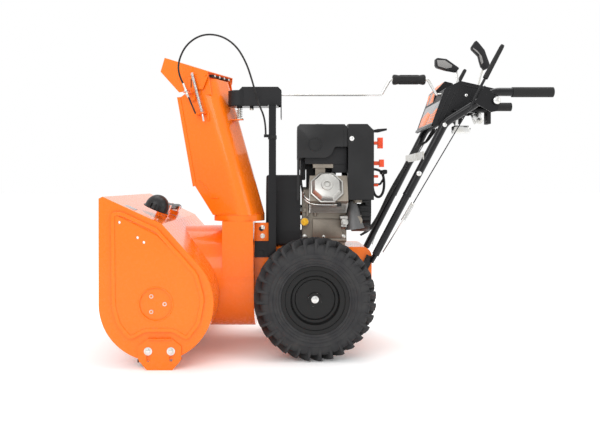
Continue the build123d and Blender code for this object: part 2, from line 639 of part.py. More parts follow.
def build_shrouds():
    """Black covers: over the muffler, and round the flywheel and tank side."""
    left = side_prism([(-116, 675), (57, 675), (57, 780), (46, 792), (-106, 792), (-116, 780)],
                      -172, 8)
    left -= side_prism([(-113, 670), (54, 670), (54, 779), (45, 789), (-105, 789), (-113, 779)],
                       -169, 5)
    left += block(-116, -108, -172, -168, 531, 676)
    step = [(-22, 670), (-22, 676), (-10.5, 679), (1, 687.5), (8, 699), (11.2, 708), (20, 714), (60, 714),
            (60, 670)]
    left -= side_prism(step, -175, -160) + block(50, 60, -175, 10, 670, 714)
    for i in range(7):
        left -= block(-96 + 20 * i, -86 + 20 * i, -150, -20, 785, 795)
    left -= along_y(-175, -160, -54, 722, 22)
    box = block(-88, 40, -150, -20, 684, 768) + along_y(-160, -149, -54, 722, 16)
    box += block(-40, -20, -130, -110, 655, 685)
    keep("muffler_cover", left)
    muffler = box + block(-60, 10, -150, -60, 642, 686) + block(-52, -18, -142, -110, 560, 645)
    keep("engine_block", PARTS["engine_block"] + muffler)
    right = side_prism([(59.5, 531), (148, 531), (148, 770), (126, 792), (59.5, 792)], -172, 132)
    right -= side_prism([(62.5, 528), (145, 528), (145, 769), (125, 789), (62.5, 789)], -169, 129)
    right -= block(55, 64, -130, 110, 520, 700)
    lower = along_x(86, 150, 0, CRANK_Z, 78) - along_x(80, 147, 0, CRANK_Z, 75)
    lower += block(130, 150, -78, 78, CRANK_Z, 534)
    lower -= block(60, 147, -75, 75, CRANK_Z, 640)
    lower -= along_x(140, 160, 0, CRANK_Z, 30)
    for i in range(18):
        turn = radians(20 * i)
        lower -= rod((140, 62 * sin(turn), CRANK_Z + 62 * cos(turn)),
                     (160, 62 * sin(turn), CRANK_Z + 62 * cos(turn)), 7)
    tx, tz = THROTTLE_PIN
    lugs = block(143, tx + 6, -68, -63, tz - 8, tz + 6) + block(143, tx + 6, -55, -50, tz - 8, tz + 6)
    lugs -= along_y(-70, -48, tx, tz, 3 + RUN)
    keep("engine_shroud", right + lower + lugs)
    tank = soften(block(-112, 56, 10, 148, 640, 782), Axis.Z, 22)
    tank += along_z(781, 792, -30, 80, 27)
    keep("fuel_tank", tank + block(-80, 30, 12, 60, 575, 641))
    cap = along_z(792 + GAP, 812, -30, 80, 32)
    for i in range(12):
        turn = radians(30 * i)
        cap -= along_z(790, 815, -30 + 33.5 * cos(turn), 80 + 33.5 * sin(turn), 4)
    keep("fuel_cap", cap)


def build_engine_controls():
    ox, oy, oz = OIL_CAP
    cap = along_y(oy - 20, -72 - GAP, ox, oz, 13) + along_y(-73, -62, ox, oz, 9)
    keep("oil_cap", cap + block(ox - 3, ox + 3, oy - 26, oy - 19, oz - 11, oz + 11))
    knob = rod((150, -110, 730), (186, -110, 730), 6)
    keep("choke_knob", knob + block(168, 186, -119, -101, 711, 749))
    key = block(149, 176, -112, -106, 652, 666)
    keep("ignition_key", key + block(174, 190, -118, -100, 646, 672))
    tx, tz = THROTTLE_PIN
    blade = side_prism([(tx, tz - 4), (176, 771), (208, 779), (208, 786), (176, 784), (tx, tz + 4)],
                       -62, -56)
    keep("throttle_lever", blade + along_y(-62, -56, tx, tz, 5) + along_y(-69, -49, tx, tz, 3))
    grip = pipe([(156, 0, 585), (192, 0, 585), (204, 0, 604), (204, 0, 625)], 4, 8)
    bar = block(196, 212, -45, 45, 622, 638)
    keep("recoil_handle", soften(bar, Axis.Y, 5) + grip)


# ---------------------------------------------------------------- chute drive
GEAR_Z = 873.0
GEAR_H = 9.0
IDLER_X = CHUTE_X + (SPUR_A + SPUR_B) * 1.8 / 2
PLATE_Z = 862.0
COVER_R = 40.0


def build_chute_drive():
    post = block(POST_X - 12.5, POST_X + 12.5, POST_Y - 12.5, POST_Y + 12.5, 335, PLATE_Z - 3)
    post -= block(POST_X - 10, POST_X + 10, POST_Y - 10, POST_Y + 10, 330, PLATE_Z - 6)
    foot = block(CASE_BACK, POST_X + 12, POST_Y + 12.5, -FRAME_HALF, 330, 451)
    for bz in (345, 430):
        foot += bolt_y(-240, bz, POST_Y + 12.5, -FRAME_HALF - 1, 5, 9, 6)
    base = block(CHUTE_X, POST_X + 20, CHUTE_Y - 32, CHUTE_Y + 32, PLATE_Z - 3, PLATE_Z)
    base += along_z(PLATE_Z - 3, PLATE_Z, CHUTE_X, CHUTE_Y, COVER_R - 3)
    base += block(POST_X - 16, POST_X + 16, POST_Y - 16, CHUTE_Y, PLATE_Z - 3, PLATE_Z)
    hanger = block(-196, -190, CHUTE_Y - 14, CHUTE_Y + 14, PLATE_Z - 1, ROD_Z + 12)
    hanger -= along_x(-200, -180, CHUTE_Y, ROD_Z, ROD_R + RUN)
    sleeve = along_z(PLATE_Z - 8, PLATE_Z + 8, IDLER_X, CHUTE_Y, 7)
    base += sleeve + along_z(PLATE_Z - 8, PLATE_Z + 6, CHUTE_X, CHUTE_Y, 10)
    base -= along_z(PLATE_Z - 20, PLATE_Z + 20, CHUTE_X, CHUTE_Y, 6 + RUN)
    base -= along_z(PLATE_Z - 20, PLATE_Z + 20, IDLER_X, CHUTE_Y, 4 + RUN)
    keep("gear_post", post + foot + base + hanger)
    hood = cover_solid(0, PLATE_Z, 926) - cover_solid(2.5, PLATE_Z - 1, 923.5)
    hood -= block(POST_X, POST_X + 60, CHUTE_Y - ROD_R - 3, CHUTE_Y + ROD_R + 3, 840, ROD_Z + 8)
    hood += block(POST_X + 28, POST_X + 31, CHUTE_Y - 35, CHUTE_Y + 35, 817, PLATE_Z + 10)
    hood -= block(POST_X, POST_X + 60, CHUTE_Y - 9, CHUTE_Y + 9, 885, ROD_Z + 8)
    keep("gear_cover", hood)
    build_gears()


def cover_solid(inset, z0, z1):
    r = COVER_R - inset
    low, high = z0, z1
    body = block(CHUTE_X, POST_X + 31 - inset, CHUTE_Y - r + 4, CHUTE_Y + r - 4, low, high)
    body = chamfer(body.faces().sort_by(Axis.Z)[-1].edges().filter_by(Axis.Y), 12)
    return body + along_z(low, high - 12, CHUTE_X, CHUTE_Y, r)


def build_gears():
    up = Pos(IDLER_X, CHUTE_Y, ROD_Z) * bevel(BEVEL_B, BEVEL_A, 1.5, 6, 180 / BEVEL_B)
    pinion = Pos(IDLER_X, CHUTE_Y, GEAR_Z) * Rot(0, 0, 180 / SPUR_A) * spur(SPUR_A, 1.8, GEAR_H, 0.01)
    stem = along_z(PLATE_Z - 12, ROD_Z - 12, IDLER_X, CHUTE_Y, 4)
    stem += along_z(PLATE_Z - 14, PLATE_Z - 8 - GAP, IDLER_X, CHUTE_Y, 7)
    keep("idler_gear", stem + pinion + up)
    wheel = spur(SPUR_B, 1.8, GEAR_H, 0.01)
    pin = along_z(CHUTE_LUG_Z + 3, GEAR_Z + GEAR_H + 4, CHUTE_X, CHUTE_Y, 6)
    coil = Helix(pitch=7.5, height=30, radius=10)
    at = Plane(origin=coil @ 0, z_dir=coil % 0)
    spring = Pos(CHUTE_X, CHUTE_Y, CHUTE_LUG_Z + 7) * sweep(at * Circle(1.5), path=coil)
    washer = along_z(CHUTE_LUG_Z + 3, CHUTE_LUG_Z + 6, CHUTE_X, CHUTE_Y, 14)
    keep("chute_gear", Pos(CHUTE_X, CHUTE_Y, GEAR_Z) * wheel + pin + washer + spring)
    y, z = CHUTE_Y, ROD_Z
    line = [(IDLER_X + 15, y, z), (184, y, z), (214, y, z + 53), (349, y, z + 53), (379, y, z),
            (CRANK_END, y, z)]
    crank = pipe(line, ROD_R, 12)
    small = Rot(0, -90, 0) * bevel(BEVEL_A, BEVEL_B, 1.5, 6, 0)
    crank += Pos(IDLER_X, y, z) * small
    crank += along_x(-189.5, -184, y, z, 9) + along_x(-202, -196.5, y, z, 9)
    keep("chute_crank", crank)
    grip = along_x(224, 339, y, z + 53, 18.5) - along_x(220, 345, y, z + 53, ROD_R + RUN)
    keep("crank_grip", chamfer(grip.edges().filter_by(GeomType.CIRCLE).group_by(SortBy.RADIUS)[-1], 3))


CRANK_END = 404.0
CHUTE_LUG_Z = 812.0


# ---------------------------------------------------------------- chute and deflector
def build_chute():
    (fx, fz), (hx, hz) = CHUTE_FOOT, CHUTE_HEAD
    base = RING_Z + RING_H + GAP
    lean = (hx - fx) / (hz - fz)
    front = [(-58, base), (-133, 580), (-200, 894)]
    back = [(hx, hz), (fx + lean * (base - fz), base)]
    solid = side_prism(front + [(-120, 940)] + back, -CHUTE_HALF, CHUTE_HALF)
    solid = fillet(rear_edges(solid), 46)
    hollow_line = [(-58 - 60, base - 1), (-133 - 60, 580), (-200 - 60, 894), (-120, 990)]
    t = SHEET
    hollow_back = [(fx + lean * (z - fz) - t, z) for z in (hz + 40, base - 1)]
    hollow = side_prism(hollow_line + hollow_back, t - CHUTE_HALF, CHUTE_HALF - t)
    hollow = fillet(rear_edges(hollow), 46 - t)
    shell = solid - hollow
    shell += block(-64, -56, -CHUTE_HALF + 1, CHUTE_HALF - 1, base, base + 3)
    lip = side_prism([(-58, base), (-133, 580), (-136, 579), (-62, base)], -CHUTE_HALF, CHUTE_HALF)
    collar = along_z(base, base + 3, 0, 0, RING_R - 3) - along_z(base - 1, base + 4, 0, 0, RING_R - 16)
    lug = block(fx + lean * (CHUTE_LUG_Z - fz) - 8, 0, -15, 15, CHUTE_LUG_Z, CHUTE_LUG_Z + 3)
    lug += along_z(CHUTE_LUG_Z, CHUTE_LUG_Z + 3, 0, 0, 15)
    flange = [side_prism([(-130, 580), (-144, 577), (-211, 896), (-197, 896)], s * CHUTE_HALF - s * 4,
                         s * CHUTE_HALF + s * 2) for s in (-1, 1)]
    tx, tz = TILT_AXIS
    ears = [side_prism([(hx + 4, hz - 60), (hx - 22, hz - 60), (tx - 7, tz), (tx + 7, tz)],
                       s * CHUTE_HALF, s * (CHUTE_HALF - 3))
            + along_y(s * (CHUTE_HALF - 3), s * CHUTE_HALF, tx, tz, 7.5)
            + along_y(s * (CHUTE_HALF - 1), s * (CHUTE_HALF + 12), tx, tz, 4) for s in (-1, 1)]
    keep("chute", chuted(shell + lip + collar + lug + flange + ears - lug_hole()))


def rear_edges(solid):
    """The two long corners at the back of the chute."""
    (fx, fz), (hx, hz) = CHUTE_FOOT, CHUTE_HEAD
    back = Vector(hx - fx, 0, hz - fz).normalized()
    long = [e for e in solid.edges() if abs(e.tangent_at(0.5).dot(back)) > 0.9999]
    return ShapeList(long).sort_by(Axis.Y)


def lug_hole():
    return along_z(CHUTE_LUG_Z - 1, CHUTE_LUG_Z + 2.9, 0, 0, 4)


def build_deflector():
    tx, tz = TILT_AXIS
    half = CHUTE_HALF + 8
    side = [(tx + 10, tz + 13), (tx + 8, tz - 8), (tx - 12, 918), (tx - 110, 912), (tx - 190, 991), (tx - 172, 1040)]
    solid = side_prism(side, -half, half)
    inner = [(tx + 14, tz + 8.6), (tx + 14, 900), (tx - 12, 900), (tx - 130, 890), (tx - 215, 991),
             (tx - 171, 1037)]
    hood = solid - side_prism(inner, -half + 3, half - 3)
    hood -= along_y(-half - 5, half + 5, tx, tz, 4 + RUN)
    for s in (-1, 1):
        hood += side_prism([(tx - 40, 930), (tx - 60, 930), (tx - 60, 880), (tx - 40, 880)],
                           s * (half + 3), s * half)
    keep("deflector", chuted(hood))


# ---------------------------------------------------------------- handlebars
def bar_points(side):
    return [(x, side * y, z) for x, y, z in BAR]


def build_handlebars():
    low, knee, bend, end = (Vector(*p) for p in BAR)
    joint = low + (knee - low) * 0.5
    for side, name in ((-1, "left"), (1, "right")):
        pts = [(p.X, side * p.Y, p.Z) for p in (low, knee, bend, end)]
        start = low + (knee - low) * 0.09
        lower = pipe([(start.X, side * start.Y, start.Z), (joint.X, side * joint.Y, joint.Z)],
                     TUBE_R, 0)
        upper = pipe([(joint.X, side * joint.Y, joint.Z)] + pts[1:], SLEEVE_R, 60)
        foot = side_prism([(104, 288), (128, 280), (152, 330), (128, 340)],
                          side * FRAME_HALF, side * (FRAME_HALF + 9))
        foot += rod((low.X + 10, side * (FRAME_HALF + 9), low.Z + 20),
                    (start.X + 2, side * start.Y, start.Z + 4), 9)
        for fx, fz in FOOT_BOLTS:
            foot += bolt_y(fx, fz, side * (FRAME_HALF + 9), side * (FRAME_HALF - 8), 4.2, 8, 6)
        keep("handlebar_" + name, upper + lower + foot)
    knee_x, knee_y, knee_z = BAR[1]
    bx, bz = joint.X + (knee_x - joint.X) * 0.55, joint.Z + (knee_z - joint.Z) * 0.55
    by = joint.Y + (knee_y - joint.Y) * 0.55
    brace = block(bx - 19, bx - 15.5, -by - 12, by + 12, bz - 14, bz + 14)
    brace = brace - PARTS["handlebar_left"] - PARTS["handlebar_right"]
    keep("handle_brace", brace)
    grips = []
    for side in (-1, 1):
        grip = along_x(BAR[3][0] - GRIP_LEN, BAR[3][0] + 4, side * BAR[3][1], BAR[3][2], GRIP_R)
        grips.append(grip - rod(bar_points(side)[2], bar_points(side)[3], SLEEVE_R))
    keep("grips", Compound(grips))


# ---------------------------------------------------------------- console and levers
CONSOLE_SIDE = [(350, 780), (400, 919), (450, 943), (579, 914), (560, 852), (478, 858), (384, 796)]
TILT_LEVER = (466.0, -70.0, 880.0)
SPEED_LEVER = (534.0, 10.0, 878.0)
TILT_KNOB = [(380, 1035), (418, 1032), (463, 1000), (452, 986), (418, 992), (382, 1002)]
SPEED_KNOB = [(546, 1116), (577, 1081), (597, 1027), (580, 1008), (566, 1020), (554, 1060),
              (529, 1086)]


def build_console():
    half = CONSOLE_HALF
    skin = side_prism(CONSOLE_SIDE, -half, half)
    skin = soften(skin, Axis.Y, 4)
    inner = [(352, 778), (403, 916.5), (450, 940), (576, 912), (557, 849), (478, 850), (386, 790)]
    skin -= side_prism(inner, 3 - half, half - 3)
    hump = [(386, 880), (396, 928), (430, 964), (458, 957), (466, 934), (400, 912)]
    hollow = [(390, 885), (399, 926.5), (431, 960.5), (455.5, 954), (462, 933), (402, 912)]
    skin += side_prism(hump, -5, 121) - side_prism(hollow, -2, 118)
    for (lx, ly, lz), run in ((TILT_LEVER, 52), (SPEED_LEVER, 46)):
        skin -= block(lx - run, lx + 40, ly - 7, ly + 7, 890, 960)
    skin -= along_x(380, 410, CHUTE_Y, ROD_Z, ROD_R + RUN)
    for side in (-1, 1):
        for bx, bz in ((412, 820), (505, 880)):
            skin += bolt_y(bx, bz, side * half, side * (half - 10), 4, 9, 6)
        arm = block(420, 446, side * (half - 1), side * 182, 838, 842)
        skin += arm + block(500, 530, side * (half - 1), side * 199, 876, 880)
    for lx, ly, lz in (TILT_LEVER, SPEED_LEVER):
        roof = 942.5 - (lx + 9 - 450) * 29 / 129
        for s in (-1, 1):
            skin += block(lx - 9, lx + 9, ly + s * 7, ly + s * 10, lz - 9, roof)
            skin += block(lx - 9, lx + 9, ly + s * 7, ly + s * 10, lz - 9, lz + 9)
        skin -= along_y(ly - 12, ly + 12, lx, lz, 4 + RUN)
    skin = skin - PARTS["handlebar_left"] - PARTS["handlebar_right"]
    keep("console_shell", skin)
    keep("deflector_lever", hand_lever(TILT_LEVER, (457, 992), TILT_KNOB))
    keep("speed_lever", hand_lever(SPEED_LEVER, (578, 1012), SPEED_KNOB))


def hand_lever(pivot, base, outline):
    """Flat stalk with a moulded knob, turning on a pin across the console."""
    px, py, pz = pivot
    bx, bz = base
    pin = along_y(py - 13, py + 13, px, pz, 4)
    stalk = along_y(py - 5, py + 5, px, pz, 9)
    run = Vector(bx - px, 0, bz - pz).normalized()
    nx, nz = run.Z * 5.5, -run.X * 5.5
    stalk += side_prism([(px - nx, pz - nz), (px + nx, pz + nz), (bx + nx, bz + nz),
                         (bx - nx, bz - nz)], py - 2.5, py + 2.5)
    knob = side_prism(outline, py - 12.5, py + 12.5)
    return pin + stalk + soften(knob, Axis.Y, 3)


def build_clutch_levers():
    px, pz = LEVER_PIVOT
    for side, name in ((-1, "left"), (1, "right")):
        y = side * LEVER_Y
        tail = (LEVER_TAIL[0], y, LEVER_TAIL[1])
        top = Vector(LEVER_TOP[0], y, LEVER_TOP[1])
        mid = Vector(*tail) + (top - Vector(*tail)) * 0.42
        lever = rod(tail, mid, 4.5) + rod(mid, top, 7) + Pos(*top) * Sphere(7)
        lever += side_prism(LEVER_PLATE, y - 1.5, y + 1.5)
        lever += along_y(y - 5, y + 5, px, pz, 11)
        lever += along_y(y - 5, y + 5, LEVER_TAIL[0], LEVER_TAIL[1], 7)
        lever -= along_y(y - 20, y + 20, px, pz, 4 + RUN)
        keep("clutch_lever_" + name, lever)
        keep("clutch_link_" + name, clutch_link(side))
    for side, name in ((-1, "left"), (1, "right")):
        pin = along_y(side * 205, side * (LEVER_Y + 8), px, pz, 4)
        pin += side_prism([(px - 12, pz - 12), (px + 12, pz - 12), (px + 16, 896), (px - 16, 890)],
                          side * 211, side * 216)
        keep("handlebar_" + name, PARTS["handlebar_" + name] + pin)


LINK_DIR = (0.508, 0.0, 0.861)
LEVER_PLATE = [(508, 914), (530, 894), (546, 876), (561, 866), (556, 850), (550, 829), (530, 825),
               (474, 857)]


def clutch_link(side):
    """Cable end, spring and lower rod between a clutch lever and the frame."""
    y = side * (LEVER_Y + 9)
    top = Vector(LEVER_TAIL[0], y, LEVER_TAIL[1])
    way = Vector(*LINK_DIR)
    a, b = top - way * 8, top - way * 395
    c, d = top - way * 460, Vector(182, side * 150, 350)
    link = rod(a, b, 2.2) + rod(c, d, 2.5)
    link += rod(b, c, 2.2)
    link += rod(top, a, 4)
    coil = Helix(pitch=5, height=65, radius=7)
    at = Plane(origin=coil @ 0, z_dir=coil % 0)
    spring = sweep(at * Circle(1.3), path=coil)
    seat = Plane(origin=c, z_dir=way)
    ends = rod(b, (b - way * 3), 8.4) + rod(c, (c + way * 3), 8.4)
    return link + ends + seat * spring


# ---------------------------------------------------------------- clean-out tool
SLOPE = degrees(atan2(HOUSE_TOP - BROW[1], BROW[0] - FRONT_X))


def on_slope(shape):
    """Places a shape drawn flat: X down the top slope, Y across, Z off the sheet."""
    mid_x, mid_z = (FRONT_X + 12 + BROW[0]) / 2, (HOUSE_TOP + BROW[1]) / 2
    return Pos(mid_x, 0, mid_z) * Rot(0, SLOPE, 0) * shape


TOOL_X, TOOL_Z = 50.0, 34.0     # where the stem meets the scoop, on the slope
TOOL_R = 11.0


def tool_spot(y):
    """A point of the tool's stem, which runs slightly down the slope."""
    share = (y + 214) / 276
    return (TOOL_X + 22 * share, y, TOOL_Z - 7 * share)


def build_tool():
    at = Pos(TOOL_X, -250, 28)
    scoop = at * Sphere(40) - at * Sphere(37) - block(0, 100, -300, -200, -20, 28)
    neck = rod(tool_spot(-213), tool_spot(-180), 15)
    tool = scoop + neck + rod(tool_spot(-185), tool_spot(62), TOOL_R) + Pos(*tool_spot(62)) * Sphere(TOOL_R)
    keep("cleanout_tool", on_slope(tool))
    clips = []
    for cy in (-130, 10):
        cx, _, cz = tool_spot(cy)
        saddle = block(cx - 20, cx + 20, cy - 12, cy + 12, -0.5, cz - 14)
        for side in (-1, 1):
            saddle += block(cx + side * 12.8, cx + side * 16.5, cy - 12, cy + 12, cz - 16, cz + 8)
        clips.append(saddle - rod(tool_spot(cy - 20), tool_spot(cy + 20), TOOL_R + GAP))
    keep("housing_wrap", PARTS["housing_wrap"] + [on_slope(clip) for clip in clips])


# ---------------------------------------------------------------- deflector cable
CABLE_R = 3.2
CABLE = [(-224, -155, 757), (-224, -155, 808), (-250, -163, 866), (-268, -167, 935),
         (-290, -168, 1003), (-325, -167, 1062), (-378, -163, 1098), (-442, -156, 1104),
         (-498, -148, 1072), (-528, -140, 1016), (-529, -133, 966), (-513, -126, 936)]


def bend_radii(points):
    """Largest arc at each corner that leaves a tenth of the shorter run straight."""
    radii = []
    for a, b, c in zip(points, points[1:], points[2:]):
        into, out = Vector(*b) - Vector(*a), Vector(*c) - Vector(*b)
        half_turn = radians(into.get_angle(out)) / 2
        radii.append(0.45 * min(into.length, out.length) / tan(half_turn))
    return radii


def build_cable():
    radii = bend_radii(CABLE)
    print("cable radii", [round(r) for r in radii])
    keep("deflector_cable", pipe(CABLE, CABLE_R, radii))
    x, y, z = CABLE[0]
    clip = block(x - 6, POST_X - POST_W / 2, y - 6, y + 6, z - 10, z)
    keep("gear_post", PARTS["gear_post"] + clip)


def main():
    build_housing()
    build_scraper()
    build_auger()
    build_worm_drive()
    build_impeller()
    build_drum()
    build_frame()
    build_wheels()
    build_engine()
    build_belt()
    build_chute_drive()
    build_chute()
    build_deflector()
    build_handlebars()
    build_console()
    build_clutch_levers()
    build_tool()
    build_cable()
    os.makedirs("parts", exist_ok=True)
    for name, shape in PARTS.items():
        export_step(shape, os.path.join("parts", name + ".step"))


main()
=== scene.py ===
"""Finish and small fittings of the two-stage snow blower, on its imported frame."""
import math

import bpy
from mathutils import Matrix, Vector


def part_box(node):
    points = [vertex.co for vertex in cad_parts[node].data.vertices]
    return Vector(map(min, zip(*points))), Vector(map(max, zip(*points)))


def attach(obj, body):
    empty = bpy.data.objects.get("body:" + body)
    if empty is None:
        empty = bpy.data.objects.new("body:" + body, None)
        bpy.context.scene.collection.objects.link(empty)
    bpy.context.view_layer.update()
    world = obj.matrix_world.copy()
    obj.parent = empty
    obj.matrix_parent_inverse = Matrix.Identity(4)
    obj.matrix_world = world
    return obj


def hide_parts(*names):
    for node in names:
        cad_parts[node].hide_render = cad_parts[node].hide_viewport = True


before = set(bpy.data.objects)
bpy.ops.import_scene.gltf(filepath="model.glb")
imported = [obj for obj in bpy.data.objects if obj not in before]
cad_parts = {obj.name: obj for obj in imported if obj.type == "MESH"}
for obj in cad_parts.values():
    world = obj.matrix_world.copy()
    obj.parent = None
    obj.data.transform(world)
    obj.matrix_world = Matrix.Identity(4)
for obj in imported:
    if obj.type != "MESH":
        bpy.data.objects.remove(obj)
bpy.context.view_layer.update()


# ---- shader maths ----

class Value:
    """A node's output socket, ready to feed another node."""

    def __init__(self, socket):
        self.socket = socket


class Finish:
    """One material, and the nodes that shape it."""

    def __init__(self, name):
        self.material = bpy.data.materials.new(name)
        self.material.use_nodes = True
        self.nodes = self.material.node_tree.nodes
        self.links = self.material.node_tree.links
        self.shader = self.nodes["Principled BSDF"]
        self.place = self.node("ShaderNodeTexCoord", {}, {}, "Object")

    def node(self, kind, settings, values, output=0):
        made = self.nodes.new(kind)
        for key, value in settings.items():
            if key == "stops":
                self.stops(made.color_ramp, value)
            else:
                setattr(made, key, value)
        for key, value in values.items():
            self.put(made.inputs[key], value)
        return Value(made.outputs[output])

    @staticmethod
    def stops(ramp, stops):
        while len(ramp.elements) < len(stops):
            ramp.elements.new(0.5)
        for element, (where, shade) in zip(ramp.elements, stops):
            element.position = where
            element.color = (*shade, 1) if isinstance(shade, tuple) else (shade, shade, shade, 1)

    def put(self, socket, value):
        if isinstance(value, Value):
            self.links.new(value.socket, socket)
        elif isinstance(value, tuple) and len(value) == 3 and socket.type == "RGBA":
            socket.default_value = (*value, 1)
        else:
            socket.default_value = value

    def noise(self, scale, detail=2.0, rough=0.5, stretch=(1, 1, 1)):
        where = self.node("ShaderNodeMapping", {}, {"Vector": self.place, "Scale": stretch})
        return self.node("ShaderNodeTexNoise", {},
                         {"Vector": where, "Scale": scale, "Detail": detail, "Roughness": rough})

    def ramp(self, value, *stops):
        return self.node("ShaderNodeValToRGB", {"stops": stops}, {0: value})

    def mix(self, factor, first, second):
        return self.node("ShaderNodeMix", {"data_type": "RGBA"}, {0: factor, 6: first, 7: second}, 2)

    def set(self, **values):
        for key, value in values.items():
            self.put(self.shader.inputs[key.replace("_", " ")], value)

    def bump(self, height, strength, distance):
        self.put(self.shader.inputs["Normal"], self.node(
            "ShaderNodeBump", {}, {"Strength": strength, "Distance": distance, "Height": height}))


def powder_coat(name, shade, deep, rough=0.24, coat=0.6, peel=0.12, shine=0.2):
    """Baked paint with faint orange peel and a soft mottle."""
    paint = Finish(name)
    mottle = paint.noise(9.0, 3.0)
    dust = paint.noise(70.0, 4.0, 0.7)
    colour = paint.mix(mottle, deep, shade)
    paint.set(Base_Color=colour, Roughness=paint.ramp(dust, (0.35, rough), (0.75, rough + 0.12)),
              Coat_Weight=coat, Coat_Roughness=0.06, Coat_IOR=1.3, Specular_IOR_Level=shine)
    paint.bump(paint.noise(420.0, 2.0), peel, 0.0006)
    return paint.material


def moulded(name, shade, rough=0.5, grain=900.0, depth=0.3, coat=0.0):
    """Moulded plastic with a fine eroded grain and a faint sheen change."""
    plastic = Finish(name)
    cloud = plastic.noise(14.0, 3.0)
    pale = tuple(min(1.0, c * 1.4 + 0.004) for c in shade)
    plastic.set(Base_Color=plastic.mix(cloud, shade, pale), Specular_IOR_Level=0.25,
                Roughness=plastic.ramp(cloud, (0.3, rough - 0.06), (0.75, rough + 0.1)),
                Coat_Weight=coat, Coat_Roughness=0.2)
    plastic.bump(plastic.noise(grain, 2.0), depth, 0.0004)
    return plastic.material


def plated(name, shade=(0.62, 0.61, 0.58), rough=0.3, blush=(0.5, 0.46, 0.36)):
    """Zinc plate: bright, slightly uneven, a little straw-coloured."""
    metal = Finish(name)
    cloud = metal.noise(38.0, 4.0)
    metal.set(Base_Color=metal.mix(metal.ramp(cloud, (0.45, 0.0), (0.8, 1.0)), shade, blush),
              Metallic=1.0, Roughness=metal.ramp(cloud, (0.3, rough - 0.08), (0.8, rough + 0.14)))
    metal.bump(metal.noise(300.0, 3.0), 0.08, 0.0004)
    return metal.material


def casting(name, shade, rough=0.5, grain=260.0, metallic=0.8):
    """Sand or die casting: granular, with darker hollows."""
    metal = Finish(name)
    grit = metal.noise(grain, 4.0, 0.6)
    cloud = metal.noise(20.0, 3.0)
    dark = tuple(c * 0.55 for c in shade)
    metal.set(Base_Color=metal.mix(cloud, dark, shade), Metallic=metallic,
              Roughness=metal.ramp(grit, (0.3, rough - 0.1), (0.7, rough + 0.15)))
    metal.bump(grit, 0.35, 0.0008)
    return metal.material


def tread_rubber(name, shade=(0.024, 0.024, 0.026)):
    """Tyre rubber, matt with a dusty bloom and fine mould lines."""
    rubber = Finish(name)
    cloud = rubber.noise(26.0, 4.0, 0.6)
    fine = rubber.noise(500.0, 2.0)
    rubber.set(Base_Color=rubber.mix(rubber.ramp(cloud, (0.4, 0.0), (0.85, 1.0)), shade,
                                     (0.05, 0.049, 0.048)),
               Roughness=rubber.ramp(cloud, (0.3, 0.62), (0.8, 0.82)), Specular_IOR_Level=0.25)
    rubber.bump(fine, 0.25, 0.0005)
    return rubber.material


ORANGE = powder_coat("orange powder coat", (0.93, 0.182, 0.008), (0.88, 0.160, 0.006), 0.22, 0.7)
RIM_BLACK = powder_coat("black rim enamel", (0.009, 0.009, 0.009), (0.005, 0.005, 0.005), 0.32, 0.25)
BLACK_STEEL = powder_coat("black powder coat", (0.009, 0.009, 0.01), (0.005, 0.005, 0.006), 0.3, 0.3)
TUBE_BLACK = powder_coat("black tube enamel", (0.009, 0.009, 0.01), (0.005, 0.005, 0.006), 0.22, 0.5)
BLACK_MOULD = moulded("black grained moulding", (0.008, 0.008, 0.009), 0.46)
SHROUD = moulded("black satin shroud", (0.009, 0.009, 0.0095), 0.34, 700.0, 0.12, 0.1)
SOFT_GRIP = moulded("soft black grip rubber", (0.010, 0.010, 0.010), 0.6, 600.0, 0.4)
ZINC = plated("zinc plate")
BRIGHT = plated("bright steel", (0.7, 0.7, 0.69), 0.22, (0.6, 0.58, 0.52))
CAST = casting("grey casting", (0.2, 0.2, 0.2), 0.5)
CRANKCASE = casting("engine casting", (0.34, 0.3, 0.25), 0.48)
FIN_METAL = casting("bare aluminium", (0.6, 0.59, 0.56), 0.34, 400.0, 0.95)
RED_MOULD = moulded("red orange moulding", (0.72, 0.07, 0.015), 0.35, 400.0, 0.1, 0.3)
YELLOW_MOULD = moulded("yellow moulding", (0.8, 0.42, 0.01), 0.35, 400.0, 0.1, 0.3)
GREY_KNOB = moulded("charcoal knob", (0.02, 0.02, 0.021), 0.5, 500.0, 0.3)
PAD_GREY = moulded("lever pad grey", (0.20, 0.195, 0.19), 0.5, 500.0, 0.3)
PANEL_GREY = moulded("console panel grey", (0.30, 0.30, 0.305), 0.42, 500.0, 0.1, 0.2)
DECAL_ORANGE = moulded("decal orange", (0.93, 0.17, 0.012), 0.32, 400.0, 0.05, 0.3)
TYRE = tread_rubber("tyre rubber")
BELT = tread_rubber("belt rubber", (0.012, 0.012, 0.012))

FINISHES = (
    (ORANGE, "housing_wrap side_plate_left side_plate_right impeller_drum tractor_frame "
             "auger_left auger_right chute_base_ring impeller skid_shoe_left skid_shoe_right "
             "chute deflector"),
    (BLACK_STEEL, "gear_post scraper_blade clutch_lever_left clutch_lever_right"),
    (TUBE_BLACK, "handlebar_left handlebar_right"),
    (ZINC, "shoe_bolts auger_shaft axle chute_gear idler_gear clutch_link_left clutch_link_right "
           "handle_brace impeller_shaft crankshaft worm_wheel auger_bearings"),
    (BRIGHT, "chute_crank"),
    (CAST, "gear_case axle_bearings impeller_bearing"),
    (CRANKCASE, "engine_block"),
    (FIN_METAL, "valve_cover"),
    (BLACK_MOULD, "belt_cover gear_cover console_shell fuel_cap throttle_lever recoil_handle "
                  "cleanout_tool"),
    (SHROUD, "engine_shroud muffler_cover fuel_tank"),
    (SOFT_GRIP, "crank_grip grips"),
    (GREY_KNOB, "deflector_lever speed_lever"),
    (RED_MOULD, "choke_knob ignition_key"),
    (YELLOW_MOULD, "oil_cap"),
    (RIM_BLACK, "rim_left rim_right"),
    (TYRE, "tyre_left tyre_right"),
    (BELT, "drive_belt deflector_cable"),
)


